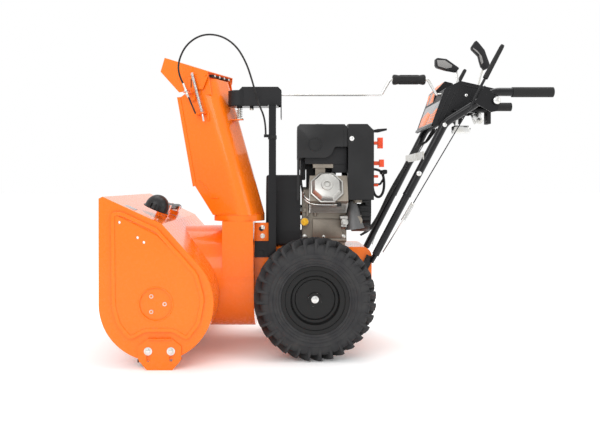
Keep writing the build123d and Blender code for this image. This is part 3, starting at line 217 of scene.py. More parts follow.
def dress_nodes():
    """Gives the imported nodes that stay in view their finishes."""
    for material, names in FINISHES:
        for name in names.split():
            mesh = bpy.data.objects[name].data
            if not mesh.materials:
                mesh.materials.append(material)
            for index in range(len(mesh.materials)):
                mesh.materials[index] = material


# ---- bench tools ----

def clear():
    if bpy.context.mode != "OBJECT":
        bpy.ops.object.mode_set(mode="OBJECT")
    bpy.ops.object.select_all(action="DESELECT")


def take(piece):
    """Makes a piece the active and only selected one."""
    clear()
    piece.select_set(True)
    bpy.context.view_layer.objects.active = piece


def face_out():
    """Turns every face of the piece in edit mode outwards, and leaves edit mode."""
    bpy.ops.mesh.select_all(action="SELECT")
    bpy.ops.mesh.normals_make_consistent(inside=False)
    bpy.ops.object.mode_set(mode="OBJECT")


def settle(piece, name=None, finish=None, body=None):
    """Applies a piece's place, names it, gives it its finish and its body."""
    take(piece)
    bpy.ops.object.transform_apply(location=True, rotation=True, scale=True)
    if name:
        piece.name = name
    if finish:
        piece.data.materials.clear()
        piece.data.materials.append(finish)
    if body:
        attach(piece, body)
    return piece


def apply_all(piece):
    take(piece)
    for modifier in list(piece.modifiers):
        bpy.ops.object.modifier_apply(modifier=modifier.name)
    return piece


def round_edges(piece, width, segments=2, angle=35):
    """Bevels the sharp edges and smooths what is left."""
    cut = piece.modifiers.new("rounded", "BEVEL")
    cut.width = width
    cut.segments = segments
    cut.limit_method = "ANGLE"
    cut.angle_limit = math.radians(angle)
    cut.use_clamp_overlap = True
    apply_all(piece)
    bpy.ops.object.shade_smooth_by_angle(angle=math.radians(40))
    return piece


def slab(low, high, soft=0.001, segments=2):
    """Block between two corners with rounded edges."""
    clear()
    low, high = Vector(low), Vector(high)
    bpy.ops.mesh.primitive_cube_add(size=1, location=(low + high) / 2, scale=high - low)
    return round_edges(settle(bpy.context.active_object), soft, segments)


def turn_to(direction):
    return Vector(direction).to_track_quat("Z", "Y").to_euler()


def drum(start, end, radius, soft=0.001, sides=32, top=None):
    """Round bar or cone between two points."""
    clear()
    start, end = Vector(start), Vector(end)
    bpy.ops.mesh.primitive_cone_add(vertices=sides, radius1=radius, radius2=top or radius,
                                    depth=(end - start).length, location=(start + end) / 2,
                                    rotation=turn_to(end - start))
    return round_edges(settle(bpy.context.active_object), soft)


def outline_plate(points, thick, soft=0.001):
    """Plate on an outline of points, pulled out by a vector."""
    clear()
    bpy.ops.mesh.primitive_circle_add(vertices=len(points), fill_type="NGON")
    plate = bpy.context.active_object
    for vertex, point in zip(plate.data.vertices, points):
        vertex.co = point
    bpy.ops.object.mode_set(mode="EDIT")
    bpy.ops.mesh.select_all(action="SELECT")
    bpy.ops.mesh.extrude_region_move(TRANSFORM_OT_translate={"value": thick})
    face_out()
    plate = settle(plate)
    return round_edges(plate, soft) if soft else plate


def lathe(profile, axis_point, axis, steps=48):
    """Turns a closed (radius, height) profile about an axis."""
    clear()
    bpy.ops.mesh.primitive_circle_add(vertices=len(profile))
    part = bpy.context.active_object
    for vertex, (radius, height) in zip(part.data.vertices, profile):
        vertex.co = (radius, 0, height)
    bpy.ops.object.mode_set(mode="EDIT")
    bpy.ops.mesh.select_all(action="SELECT")
    bpy.ops.mesh.spin(steps=steps, angle=math.tau, center=(0, 0, 0), axis=(0, 0, 1), dupli=False)
    bpy.ops.mesh.select_all(action="SELECT")
    bpy.ops.mesh.remove_doubles(threshold=0.00002)
    face_out()
    part.location = axis_point
    part.rotation_euler = turn_to(axis)
    part = settle(part)
    bpy.ops.object.shade_smooth_by_angle(angle=math.radians(35))
    return part


def curve_line(points, radius, sides, resolution=6):
    """Round line on an open NURBS spline, left as a curve."""
    line = bpy.data.curves.new("line", "CURVE")
    line.dimensions = "3D"
    line.bevel_depth = radius
    line.bevel_resolution = sides
    line.use_fill_caps = True
    run = line.splines.new("NURBS")
    run.points.add(len(points) - 1)
    for spot, point in zip(run.points, points):
        spot.co = (*point, 1)
    run.order_u = 3
    run.use_endpoint_u = True
    run.resolution_u = resolution
    made = bpy.data.objects.new("line", line)
    bpy.context.scene.collection.objects.link(made)
    return made


def wire(points, radius, sides=4):
    """Smooth round wire through control points, as a mesh."""
    take(curve_line(points, radius, sides))
    bpy.ops.object.convert(target="MESH")
    bpy.ops.object.shade_smooth()
    return bpy.context.active_object


def coil(start, end, radius, thick, turns):
    """Close-wound spring between two points."""
    start, end = Vector(start), Vector(end)
    way = (end - start).normalized()
    side = way.cross((0, 1, 0) if abs(way.y) < 0.9 else (1, 0, 0)).normalized()
    other = way.cross(side)
    spots = []
    for i in range(turns * 10 + 1):
        turn = math.tau * i / 10
        spots.append(start + (end - start) * i / (turns * 10)
                     + radius * (side * math.cos(turn) + other * math.sin(turn)))
    return wire(spots, thick, 1)


def copy_of(piece, change):
    """A copy with its own mesh, moved by a matrix."""
    made = piece.copy()
    made.data = piece.data.copy()
    made.data.transform(change)
    bpy.context.scene.collection.objects.link(made)
    return made


def swing(piece, centre, degrees):
    """Turns a piece's mesh about a line along Y through a point."""
    turn = Matrix.Rotation(math.radians(degrees), 4, "Y")
    piece.data.transform(Matrix.Translation(centre) @ turn @ Matrix.Translation(-Vector(centre)))


def joined(pieces):
    """One object out of several."""
    clear()
    for piece in pieces:
        piece.select_set(True)
    bpy.context.view_layer.objects.active = pieces[0]
    if len(pieces) > 1:
        bpy.ops.object.join()
    return bpy.context.active_object


def put(pieces, name, finish, body="chassis"):
    """Joins the made shapes into one named piece on a body."""
    pieces = pieces if isinstance(pieces, list) else [pieces]
    return settle(joined(pieces), name, finish, body)


def hex_bolt(place, direction, across, washer=True):
    """Chamfered hex head, with its washer if asked."""
    place, direction = Vector(place), Vector(direction).normalized()
    half = across / 2
    parts = [drum(place, place + direction * across * 0.42, half * 1.12, across * 0.05, 6)]
    if washer:
        parts.append(drum(place - direction * 0.0004, place + direction * across * 0.1, across * 0.78,
                          0.0003))
    return parts


def dome_bolt(place, direction, radius):
    """Round carriage-bolt head."""
    place, direction = Vector(place), Vector(direction).normalized()
    profile = [(0.0, 0.0), (radius, 0.0), (radius * 0.96, radius * 0.14), (radius * 0.7, radius * 0.34),
               (radius * 0.35, radius * 0.44), (0.0, radius * 0.47)]
    return lathe(profile, place, direction, 24)


# ---- wheels ----

AXLE = Vector((-0.057, 0, 0.203))
SIDES = ((-1, "left"), (1, "right"))


def tyre(side, name):
    """Carcass with ribbed sidewalls, and two offset rows of slanted shoulder lugs."""
    low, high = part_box(name)
    inner, outer = (low[1], high[1]) if side > 0 else (-high[1], -low[1])
    mid = (inner + outer) / 2
    half = (outer - inner) / 2
    side_line = [(0.1042, half - 0.0125), (0.112, half - 0.0115), (0.1135, half - 0.007),
                 (0.119, half - 0.0045), (0.1205, half - 0.0062), (0.128, half - 0.0024),
                 (0.1295, half - 0.0036), (0.138, half - 0.0008), (0.1393, half - 0.0022),
                 (0.1435, half - 0.0004), (0.152, half - 0.0003), (0.1534, half - 0.0017),
                 (0.166, half - 0.0018), (0.1755, half - 0.006), (0.1815, half - 0.0135)]
    crown = [(0.1832, half - 0.03), (0.184, 0.0)]
    line = side_line + crown
    profile = line + [(r, -h) for r, h in reversed(line[:-1])]
    carcass = lathe(profile, AXLE + Vector((0, mid, 0)), (0, 1, 0), 96)
    first = lug(half)
    lugs = []
    for i in range(31):
        for way in (1, -1):
            turn = math.tau * (i + (0 if way > 0 else 0.5)) / 31
            flip = Matrix.Identity(4) if way > 0 else Matrix.Rotation(math.pi, 4, "Z")
            move = Matrix.Translation(AXLE + Vector((0, mid, 0))) @ Matrix.Rotation(turn, 4, "Y") @ flip
            lugs.append(copy_of(first, move))
    bpy.data.objects.remove(first)
    tread = joined(lugs)
    made = put([carcass, tread], name + "_tread", TYRE, "axle_set")
    if side < 0:
        made.data.transform(Matrix.Scale(-1, 4, (0, 1, 0)))
        recalc(made)
    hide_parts(name)


def recalc(piece):
    take(piece)
    bpy.ops.object.mode_set(mode="EDIT")
    face_out()


def lug(half):
    """One lug at the top of the tyre: a slanted bar with a leg down the shoulder."""
    top = 0.2027
    stations = [
        (half - 0.0006, 0.152, 0.1545, 0.0026, 0.0),
        (half - 0.0004, 0.158, 0.176, 0.0042, 0.001),
        (half - 0.0035, 0.166, 0.1925, 0.0048, 0.002),
        (half - 0.0120, 0.172, top - 0.0022, 0.0056, 0.004),
        (half - 0.0240, 0.178, top - 0.0002, 0.0066, 0.009),
        (half - 0.0400, 0.181, top, 0.0078, 0.018),
        (half - 0.0540, 0.182, top, 0.0084, 0.026),
    ]
    clear()
    bpy.ops.mesh.primitive_circle_add(vertices=4, fill_type="NGON")
    bar = bpy.context.active_object
    for vertex, point in zip(bar.data.vertices, station(stations[0])):
        vertex.co = point
    for spot in stations[1:]:
        bpy.ops.object.mode_set(mode="EDIT")
        bpy.ops.mesh.extrude_region_move(TRANSFORM_OT_translate={"value": (0, 0, 0)})
        bpy.ops.object.mode_set(mode="OBJECT")
        live = [v for v in bar.data.vertices if v.select]
        for vertex, point in zip(live, station(spot)):
            vertex.co = point
    recalc(bar)
    return round_edges(settle(bar), 0.0011, 1)


def station(spot):
    """The four corners of the lug's section at one place across the tread."""
    y, low, high, wide, drift = spot
    return [(drift - wide, y, low), (drift + wide, y, low), (drift + wide * 0.8, y, high),
            (drift - wide * 0.8, y, high)]


def rim_details(side):
    """Hub bolt on its square washer, and the valve stem."""
    y = side * (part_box("axle")[1][1] + 0.0004)
    washer = slab((-0.0165, -0.0015, -0.0165), (0.0165, 0.0015, 0.0165), 0.0012)
    hole = drum((0, -side * 0.001, 0), (0, side * 0.0022, 0), 0.0105, 0.0005)
    head = drum((0, 0, 0), (0, side * 0.0075, 0), 0.0078, 0.0008, 6)
    bolt = joined([washer, hole, head])
    bolt.data.transform(Matrix.Translation((AXLE.x, y + side * 0.003, AXLE.z))
                        @ Matrix.Rotation(math.radians(-27), 4, "Y"))
    tag = "right" if side > 0 else "left"
    put(bolt, "hub_bolt_" + tag, BRIGHT, "axle_set")
    foot = AXLE + Vector((0, side * 0.236, -0.0865))
    stem = drum(foot, foot + Vector((0, side * 0.022, 0)), 0.0042, 0.0008, 16)
    put(stem, "valve_stem_" + tag, BELT, "axle_set")
    cap = drum(foot + Vector((0, side * 0.018, 0)), foot + Vector((0, side * 0.027, 0)), 0.0032,
               0.0006, 12)
    put(cap, "valve_cap_" + tag, BRIGHT, "axle_set")


# ---- chute ----

CHUTE_AXIS = Vector((-0.319, -0.092, 0))
CHUTE_YAW = math.radians(-25)


def chuted(piece):
    """Carries a piece made in the chute's own frame to its place."""
    piece.data.transform(Matrix.Translation(CHUTE_AXIS) @ Matrix.Rotation(CHUTE_YAW, 4, "Z"))
    return piece


def deflector_fittings():
    """Cable bracket, rod, long tension spring and hinge strip on the chute's near side."""
    y = -0.089
    bracket = outline_plate([(-0.128, y, 0.962), (-0.156, y, 0.962), (-0.156, y, 0.922),
                             (-0.146, y, 0.903), (-0.128, y, 0.903)], (0, -0.0022, 0), 0.0006)
    slot = slab((-0.1455, y - 0.0026, 0.925), (-0.1415, y - 0.0018, 0.956), 0.0003)
    shelf = outline_plate([(-0.128, y, 0.905), (-0.162, y, 0.905), (-0.162, y - 0.026, 0.905),
                           (-0.130, y - 0.018, 0.905)], (0, 0, 0.0022), 0.0006)
    put([chuted(bracket), chuted(shelf)], "cable_shelf", ORANGE, "deflector_body")
    put(chuted(slot), "bracket_slot", BELT, "deflector_body")
    low_lug = outline_plate([(-0.124, -0.079, 0.826), (-0.082, -0.079, 0.834), (-0.082, -0.104, 0.834),
                             (-0.124, -0.108, 0.826)], (0, 0, 0.0024), 0.0006)
    web = outline_plate([(-0.088, -0.079, 0.836), (-0.078, -0.079, 0.836), (-0.074, -0.079, 0.806),
                         (-0.082, -0.079, 0.806)], (0, -0.0030, 0), 0.0008)
    put([chuted(low_lug), chuted(web)], "spring_shelf", ORANGE, "chute_body")
    rod = drum((-0.145, -0.107, 0.892), (-0.1186, -0.099, 0.828), 0.0028, 0.0004, 16)
    put(chuted(rod), "cable_rod", BELT, "chute_body")
    ferrule = [drum((-0.1615, -0.113, 0.938), (-0.1440, -0.107, 0.889), 0.0042, 0.0004, 16),
               drum((-0.1535, -0.1105, 0.9160), (-0.1512, -0.1095, 0.9090), 0.0065, 0.0004, 6),
               drum((-0.1490, -0.1088, 0.9035), (-0.1468, -0.1080, 0.8970), 0.0065, 0.0004, 6)]
    put([chuted(p) for p in ferrule], "cable_ferrule", ZINC, "deflector_body")
    spring = coil((-0.1372, -0.096, 0.974), (-0.0965, -0.094, 0.836), 0.0048, 0.0011, 52)
    put(chuted(spring), "deflector_spring", BRIGHT, "chute_body")
    tip = drum((-0.0970, -0.094, 0.838), (-0.0896, -0.094, 0.804), 0.0032, 0.0005, 16)
    put(chuted(tip), "spring_stud", BRIGHT, "chute_body")
    strip = slab((-0.096, -0.062, 0.964), (-0.0742, 0.062, 0.9705), 0.0012)
    put(chuted(strip), "hinge_rubber", BELT, "chute_body")
    screws = []
    for k in range(4):
        screws += hex_bolt((-0.0745, -0.048 + 0.032 * k, 0.9665), (1, 0, 0.1), 0.0085, False)
    put([chuted(p) for p in screws], "hinge_screws", ZINC, "chute_body")
    crease = wire([(-0.1185, -0.0786, 0.599), (-0.100, -0.0786, 0.590), (-0.080, -0.0786, 0.562),
                   (-0.071, -0.0786, 0.539), (-0.062, -0.0786, 0.5365), (-0.039, -0.0786, 0.537)],
                  0.0016, 2)
    put(chuted(crease), "chute_crease", ORANGE, "chute_body")


CABLE_SPOTS = [(-0.224, -0.155, 0.757), (-0.224, -0.155, 0.808), (-0.250, -0.163, 0.866),
               (-0.268, -0.167, 0.935), (-0.290, -0.168, 1.003), (-0.325, -0.167, 1.062),
               (-0.378, -0.163, 1.098), (-0.442, -0.156, 1.104), (-0.498, -0.148, 1.072),
               (-0.528, -0.140, 1.016), (-0.529, -0.133, 0.966), (-0.513, -0.126, 0.936)]
CABLE_R = 0.0032


def cable():
    """Flexible cable from the post up over the deflector and down to its bracket."""
    line = curve_line(CABLE_SPOTS, CABLE_R, 4, 8)
    line.name = "chute_cable"
    line.data.materials.append(BELT)
    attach(line, "chassis")
    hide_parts("deflector_cable")


# ---- engine ----

LEAN = math.radians(65)


def on_cylinder(piece):
    """Carries a piece drawn with the bore along +Z onto the leaning cylinder."""
    piece.data.transform(Matrix.Translation((0, 0, 0.490)) @ Matrix.Rotation(LEAN, 4, "X"))
    return piece


def octagon(centre, across, z):
    reach = across / 2 / math.cos(math.pi / 8)
    return [(centre[0] + reach * math.cos(math.pi / 8 + k * math.pi / 4),
             centre[1] + reach * math.sin(math.pi / 8 + k * math.pi / 4), z) for k in range(8)]


def valve_cover():
    """Cast octagonal cover on its flange, with a boss."""
    middle = (-0.014, 0.0)
    flange = outline_plate(octagon(middle, 0.112, 0.1925), (0, 0, 0.008), 0.0022)
    body = outline_plate(octagon(middle, 0.104, 0.2005), (0, 0, 0.019), 0.0)
    for vertex in body.data.vertices:
        if vertex.co.z > 0.21:
            vertex.co.x = middle[0] + (vertex.co.x - middle[0]) * 0.80
            vertex.co.y *= 0.80
    body = round_edges(body, 0.0022, 3, 20)
    ring = lathe([(0.012, 0), (0.0125, 0.0042), (0.0185, 0.0042), (0.0205, 0.0)],
                 (*middle, 0.2190), (0, 0, 1), 40)
    boss = lathe([(0.0, 0.0), (0.0, 0.0036), (0.0075, 0.0036), (0.009, 0.0016), (0.0118, 0.0014),
                  (0.0118, 0.0)], (*middle, 0.2190), (0, 0, 1), 40)
    pieces = [on_cylinder(p) for p in (flange, body, ring, boss)]
    cover = put(pieces, "rocker_cover", FIN_METAL)
    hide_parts("valve_cover")
    gasket = outline_plate(octagon(middle, 0.1105, 0.1908), (0, 0, 0.0018), 0.0003)
    put(on_cylinder(gasket), "rocker_gasket", BELT)


def cylinder_fins():
    """Thin cooling fins and two bright bands round the near end of the cylinder."""
    fins = []
    for k in range(7):
        z = 0.092 + 0.012 * k
        fins.append(on_cylinder(slab((-0.0735, -0.0495, z), (0.0595, 0.0495, z + 0.0026), 0.0009)))
    put(fins, "cooling_fins", FIN_METAL)
    bands = []
    for z in (0.530, 0.521):
        bands.append(wire([(-0.094, -0.150, z + 0.026), (-0.092, -0.168, z + 0.010),
                           (-0.066, -0.178, z - 0.004), (-0.030, -0.180, z - 0.006),
                           (0.028, -0.180, z - 0.006)], 0.0030, 2))
    put(bands, "guard_bands", BRIGHT)
    clip = slab((0.020, -0.184, 0.509), (0.036, -0.170, 0.534), 0.0015)
    put(clip, "band_clip", BELT)


def crankcase_details():
    """Ribs, bosses, flange bolts and the filler neck on the crankcase."""
    pieces = [slab((-0.094, -0.082, 0.484), (-0.030, -0.070, 0.500), 0.003),
              slab((-0.060, -0.078, 0.392), (0.046, -0.068, 0.462), 0.004),
              drum((-0.088, -0.094, 0.452), (-0.088, -0.068, 0.452), 0.0165, 0.002, 24),
              slab((-0.096, -0.080, 0.380), (0.062, -0.066, 0.392), 0.002)]
    for x in (-0.078, -0.050):
        pieces.append(drum((x, -0.080, 0.470), (x, -0.080, 0.515), 0.006, 0.001, 16))
    put(pieces, "crankcase_bosses", CRANKCASE)
    bolts = []
    for x, z in ((-0.088, 0.398), (-0.020, 0.398), (0.050, 0.398), (-0.040, 0.506), (0.052, 0.506)):
        bolts += hex_bolt((x, -0.0745, z), (0, -1, 0), 0.0105)
    put(bolts, "crankcase_bolts", ZINC)
    starter = [drum((0.052, -0.118, 0.452), (0.052, -0.074, 0.452), 0.013, 0.002, 24),
               drum((0.052, -0.126, 0.452), (0.052, -0.118, 0.452), 0.0095, 0.002, 24),
               drum((0.040, -0.098, 0.438), (0.066, -0.098, 0.438), 0.0105, 0.002, 24),
               slab((0.036, -0.112, 0.462), (0.064, -0.080, 0.474), 0.003),
               drum((0.040, -0.100, 0.498), (0.040, -0.076, 0.498), 0.012, 0.002, 24)]
    put(starter, "starter_and_drain", FIN_METAL)
    cone = lathe([(0.0, 0.0), (0.0345, 0.0), (0.031, 0.010), (0.018, 0.085), (0.016, 0.098),
                  (0.0, 0.098)], (0.090, -0.098, 0.428), (-0.12, 0, 1), 28)
    put(cone, "governor_housing", CAST)
    bits = []
    for x, y, z in ((0.064, -0.124, 0.600), (0.066, -0.126, 0.586), (0.062, -0.126, 0.571),
                    (0.068, -0.126, 0.560)):
        bits.append(drum((x, y, z), (x, y - 0.012, z), 0.0045, 0.0008, 12))
    bits.append(wire([(0.012, -0.128, 0.652), (0.030, -0.130, 0.651), (0.058, -0.128, 0.651)], 0.0012,
                     1))
    bits.append(wire([(0.060, -0.130, 0.612), (0.055, -0.132, 0.590), (0.066, -0.132, 0.570),
                      (0.060, -0.130, 0.548)], 0.0016, 1))
    put(bits, "governor_linkage", BRIGHT)
    lead = wire([(-0.096, -0.120, 0.560), (-0.104, -0.128, 0.600), (-0.098, -0.126, 0.645),
                 (-0.072, -0.110, 0.668), (-0.060, -0.090, 0.690)], 0.0038, 2)
    put(lead, "breather_hose", BELT)


def shroud_details():
    """Silver screws, the exhaust grille and louvres on the black covers."""
    y = -0.1722
    screws = dome_bolt((0.072, y, 0.742), (0, -1, 0), 0.0085)
    small = dome_bolt((0.0, 0, 0), (0, -1, 0), 0.004)
    small.data.transform(Matrix.Translation((0.062, -0.14, 0.7925)))
    put([screws, small], "shroud_screws", BRIGHT)
    ring = lathe([(0.0205, 0.0), (0.0205, 0.0022), (0.0235, 0.0022), (0.0245, 0.0)],
                 (-0.054, -0.1712, 0.722), (0, -1, 0), 40)
    put(ring, "outlet_ring", SHROUD)
    mesh = []
    for k in range(6):
        turn = math.pi * k / 6
        reach = Vector((math.cos(turn), 0, math.sin(turn))) * 0.0205
        centre = Vector((-0.054, -0.1625, 0.722))
        mesh.append(drum(centre - reach, centre + reach, 0.0011, 0.0002, 8))
    mesh.append(drum((-0.054, -0.1640, 0.722), (-0.054, -0.1600, 0.722), 0.0070, 0.0005, 8))
    put(mesh, "outlet_grille", BELT)
    louvres = []
    for k in range(5):
        z = 0.520 - 0.021 * k
        louvres.append(slab((0.112, -0.0805, z), (0.1485, -0.0745, z + 0.011), 0.0016))
    put(louvres, "recoil_louvres", SHROUD)


def rear_controls():
    """Clamps and cord loop of the recoil handle, and the choke's ribbed knob."""
    loop = wire([(0.150, 0.0, 0.640), (0.172, -0.004, 0.642), (0.198, -0.004, 0.632),
                 (0.207, -0.004, 0.600), (0.205, -0.004, 0.560), (0.192, -0.004, 0.537),
                 (0.174, -0.004, 0.540), (0.163, -0.004, 0.570), (0.166, -0.004, 0.610),
                 (0.150, 0.0, 0.640)], 0.0048, 2)
    put(loop, "recoil_loop", BLACK_MOULD, "recoil_pull")
    clamps = [slab((0.152, -0.012, 0.609), (0.184, 0.006, 0.619), 0.002),
              slab((0.152, -0.012, 0.577), (0.184, 0.006, 0.587), 0.002)]
    put(clamps, "recoil_clamps", RED_MOULD)
    ribs = [slab((0.172 + 0.004 * k, -0.1205, 0.7135), (0.1738 + 0.004 * k, -0.0995, 0.7465), 0.0007)
            for k in range(4)]
    put(ribs, "choke_ribs", RED_MOULD, "choke")
    wing = slab((-0.1005, -0.1035, 0.4490), (-0.0755, -0.0975, 0.4560), 0.002)
    swing(wing, (-0.088, 0, 0.452), 38)
    put(wing, "oil_cap_wing", YELLOW_MOULD, "filler_cap")


# ---- housing ----

def housing_details():
    """Dish bolts and the nuts of the skid shoes."""
    centre = Vector((-0.562, 0, 0.208))
    for side, tag in SIDES:
        bolts = []
        for turn in (0, 120, 240):
            spot = centre + Vector((0.028 * math.cos(math.radians(turn)), side * 0.3585,
                                    0.028 * math.sin(math.radians(turn))))
            bolts.append(dome_bolt(spot, (0, side, 0), 0.0058))
        put(bolts, "dish_bolts_" + tag, ORANGE)
        heads = []
        for x in (-0.586, -0.514):
            place = Vector((x, side * 0.3602, 0.060))
            heads.append(lathe([(0.0, 0.0), (0.0135, 0.0), (0.0130, 0.0022), (0.0085, 0.0030),
                                (0.0, 0.0030)], place, (0, side, 0), 32))
            heads += hex_bolt(place + Vector((0, side * 0.0022, 0)), (0, side, 0), 0.0130, False)
        put(heads, "shoe_nuts_" + tag, BRIGHT)


# ---- fittings on the housing ----

SLOPE = math.atan2(0.086, 0.199)
SLOPE_MIDDLE = Vector((-0.6375, 0, 0.503))


def on_slope(piece):
    """Carries a piece drawn flat onto the housing's front slope."""
    piece.data.transform(Matrix.Translation(SLOPE_MIDDLE) @ Matrix.Rotation(SLOPE, 4, "Y"))
    return piece


def bowl(centre, reach, wall):
    """Half-round scoop, open below, with a flared lip."""
    clear()
    bpy.ops.mesh.primitive_uv_sphere_add(segments=48, ring_count=24)
    shell = bpy.context.active_object
    bpy.ops.object.mode_set(mode="EDIT")
    bpy.ops.mesh.select_all(action="SELECT")
    bpy.ops.mesh.bisect(plane_co=(0, 0, 0), plane_no=(0, 0, 1), clear_inner=True)
    bpy.ops.mesh.select_all(action="DESELECT")
    bpy.ops.mesh.select_non_manifold()
    for grow, drop in ((1.03, -0.10), (1.09, -0.035)):
        bpy.ops.mesh.extrude_region_move(TRANSFORM_OT_translate={"value": (0, 0, drop)})
        bpy.ops.transform.resize(value=(grow, grow, 1))
    bpy.ops.object.mode_set(mode="OBJECT")
    shell.scale = reach
    shell.location = centre
    shell = settle(shell)
    thick = shell.modifiers.new("wall", "SOLIDIFY")
    thick.thickness = wall
    thick.offset = -1
    apply_all(shell)
    bpy.ops.object.shade_smooth_by_angle(angle=math.radians(40))
    return shell


def cleanout_tool():
    """Scoop with a ribbed lip, a necked stem and a round-ended grip."""
    x, y, z = 0.050, -0.249, 0.0285
    head = bowl((x, y, z), (0.0395, 0.0375, 0.042), 0.0028)
    ribs = [slab((rib - 0.0015, y - 0.0415, z - 0.003), (rib + 0.0015, y - 0.0250, z + 0.012), 0.0008)
            for rib in (x - 0.016, x, x + 0.016)]
    stem = lathe([(0.0, 0.0), (0.0165, 0.0), (0.0150, 0.012), (0.0112, 0.034), (0.0108, 0.240),
                  (0.0116, 0.262), (0.0108, 0.274), (0.0080, 0.283), (0.0, 0.2865)],
                 (x, y + 0.0360, 0.034), (0.022, 0.276, -0.007), 32)
    web = slab((x - 0.015, -0.222, 0.030), (x + 0.015, -0.196, 0.0385), 0.003)
    tool = put([on_slope(piece) for piece in [head, stem, web] + ribs], "snow_scoop", SHROUD, "tool")
    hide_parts("cleanout_tool")


PANEL = [(-0.704, 0.484), (-0.701, 0.493), (-0.693, 0.498), (-0.674, 0.499), (-0.662, 0.495),
         (-0.563, 0.449), (-0.553, 0.442), (-0.548, 0.436), (-0.437, 0.312), (-0.428, 0.296),
         (-0.412, 0.238), (-0.410, 0.218), (-0.414, 0.192), (-0.423, 0.150), (-0.430, 0.136),
         (-0.455, 0.103), (-0.464, 0.097), (-0.474, 0.099), (-0.502, 0.116), (-0.516, 0.120),
         (-0.586, 0.120), (-0.600, 0.117), (-0.630, 0.100), (-0.642, 0.097), (-0.652, 0.102),
         (-0.678, 0.134), (-0.686, 0.148), (-0.698, 0.190), (-0.701, 0.208)]


def panel_bead(side):
    """Rolled bead that frames the pressed panel of a side plate."""
    clear()
    bpy.ops.mesh.primitive_circle_add(vertices=len(PANEL), fill_type="NGON")
    bead = bpy.context.active_object
    for vertex, (x, z) in zip(bead.data.vertices, PANEL):
        vertex.co = (x, side * 0.3592, z)
    bpy.ops.object.mode_set(mode="EDIT")
    bpy.ops.mesh.select_all(action="SELECT")
    bpy.ops.mesh.inset(thickness=0.0125)
    bpy.ops.mesh.delete(type="FACE")
    bpy.ops.mesh.select_all(action="SELECT")
    bpy.ops.mesh.extrude_region_move(TRANSFORM_OT_translate={"value": (0, side * 0.0034, 0)})
    face_out()
    return round_edges(settle(bead), 0.0026, 3)


def housing_trim():
    """Panel beads, dish rims, and a blank label and two screws on the slope."""
    for side, tag in SIDES:
        dish = lathe([(0.0505, 0.0), (0.0515, 0.0022), (0.0545, 0.0022), (0.0560, 0.0)],
                     (-0.562, side * 0.3594, 0.208), (0, side, 0), 56)
        put([panel_bead(side), dish], "panel_bead_" + tag, ORANGE)
    plate = on_slope(slab((-0.036, -0.330, 0.0002), (0.002, -0.286, 0.0010), 0.0003))
    put(plate, "blank_label", PANEL_GREY)
    screws = [dome_bolt((-0.521, y, 0.4275), (0.82, 0, 0.57), 0.0055) for y in (-0.1, 0.1)]
    put(screws, "slope_screws", BLACK_MOULD)


# ---- covers ----

def under(height):
    """The lower side of the muffler cover's roof sheet, thicker where it slopes."""
    return 0.7886 if height > 0.79 else 0.779


def muffler_cover():
    """Folded cover with a stepped cut-out, a front leg, slots in its roof and a rolled seam."""
    face = [(-0.1155, 0.676), (-0.022, 0.676), (-0.0105, 0.6790), (0.0010, 0.6875), (0.0080, 0.6990),
            (0.0112, 0.7080), (0.0142, 0.7125), (0.0200, 0.7140), (0.0560, 0.7140), (0.0570, 0.780),
            (0.0470, 0.7915), (-0.1060, 0.7915), (-0.1155, 0.782)]
    front = outline_plate([(x, -0.1718, z) for x, z in face], (0, 0.0028, 0), 0.0007)
    walls = [
        slab((-0.1155, -0.171, 0.676), (-0.1127, 0.0075, 0.782), 0.0008),
        slab((0.0540, -0.171, 0.715), (0.0568, 0.0075, 0.780), 0.0008),
        slab((-0.1155, 0.0050, 0.676), (0.0565, 0.0078, 0.782), 0.0008),
        slab((-0.1150, -0.1715, 0.531), (-0.1075, -0.1690, 0.680), 0.0008),
        slab((-0.1158, -0.1715, 0.531), (-0.1135, -0.1560, 0.680), 0.0008)]
    roof = []
    for k in range(8):
        x = -0.1055 + 0.0198 * k
        roof.append(slab((x, -0.1710, 0.7885), (x + 0.0105, 0.0070, 0.7914), 0.0006))
    roof += [slab((-0.1055, -0.1710, 0.7885), (0.0465, -0.1500, 0.7914), 0.0006),
             slab((-0.1055, -0.0200, 0.7885), (0.0465, 0.0070, 0.7914), 0.0006)]
    for low, high, left, right in ((-0.1150, -0.1060, 0.782, 0.7914), (0.0470, 0.0560, 0.7914, 0.782)):
        edge = [(low, -0.171, left), (high, -0.171, right), (high, -0.171, under(right)),
                (low, -0.171, under(left))]
        roof.append(outline_plate(edge, (0, 0.178, 0), 0.0))
    seams = [slab((x, -0.1727, 0.7145), (x + 0.0016, -0.1712, 0.7905), 0.0005)
             for x in (0.0445, 0.0560)]
    cover = put([front] + walls + roof + seams, "muffler_shroud", SHROUD)
    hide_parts("muffler_cover")
    # Painted shadow: these plain black sheets sit behind the cover's cut-out, its leg and its lower
    # edge, and stand in for the shade inside the cover. They are not parts of it.
    dark = [slab((-0.0880, -0.1540, 0.6550), (0.0560, -0.1515, 0.7250), 0.001),
            slab((-0.1040, -0.1200, 0.6000), (-0.0860, -0.0200, 0.6740), 0.003),
            slab((0.0060, -0.1500, 0.6250), (0.0580, -0.1100, 0.7160), 0.003)]
    put(dark, "heat_shield", BLACK_MOULD)


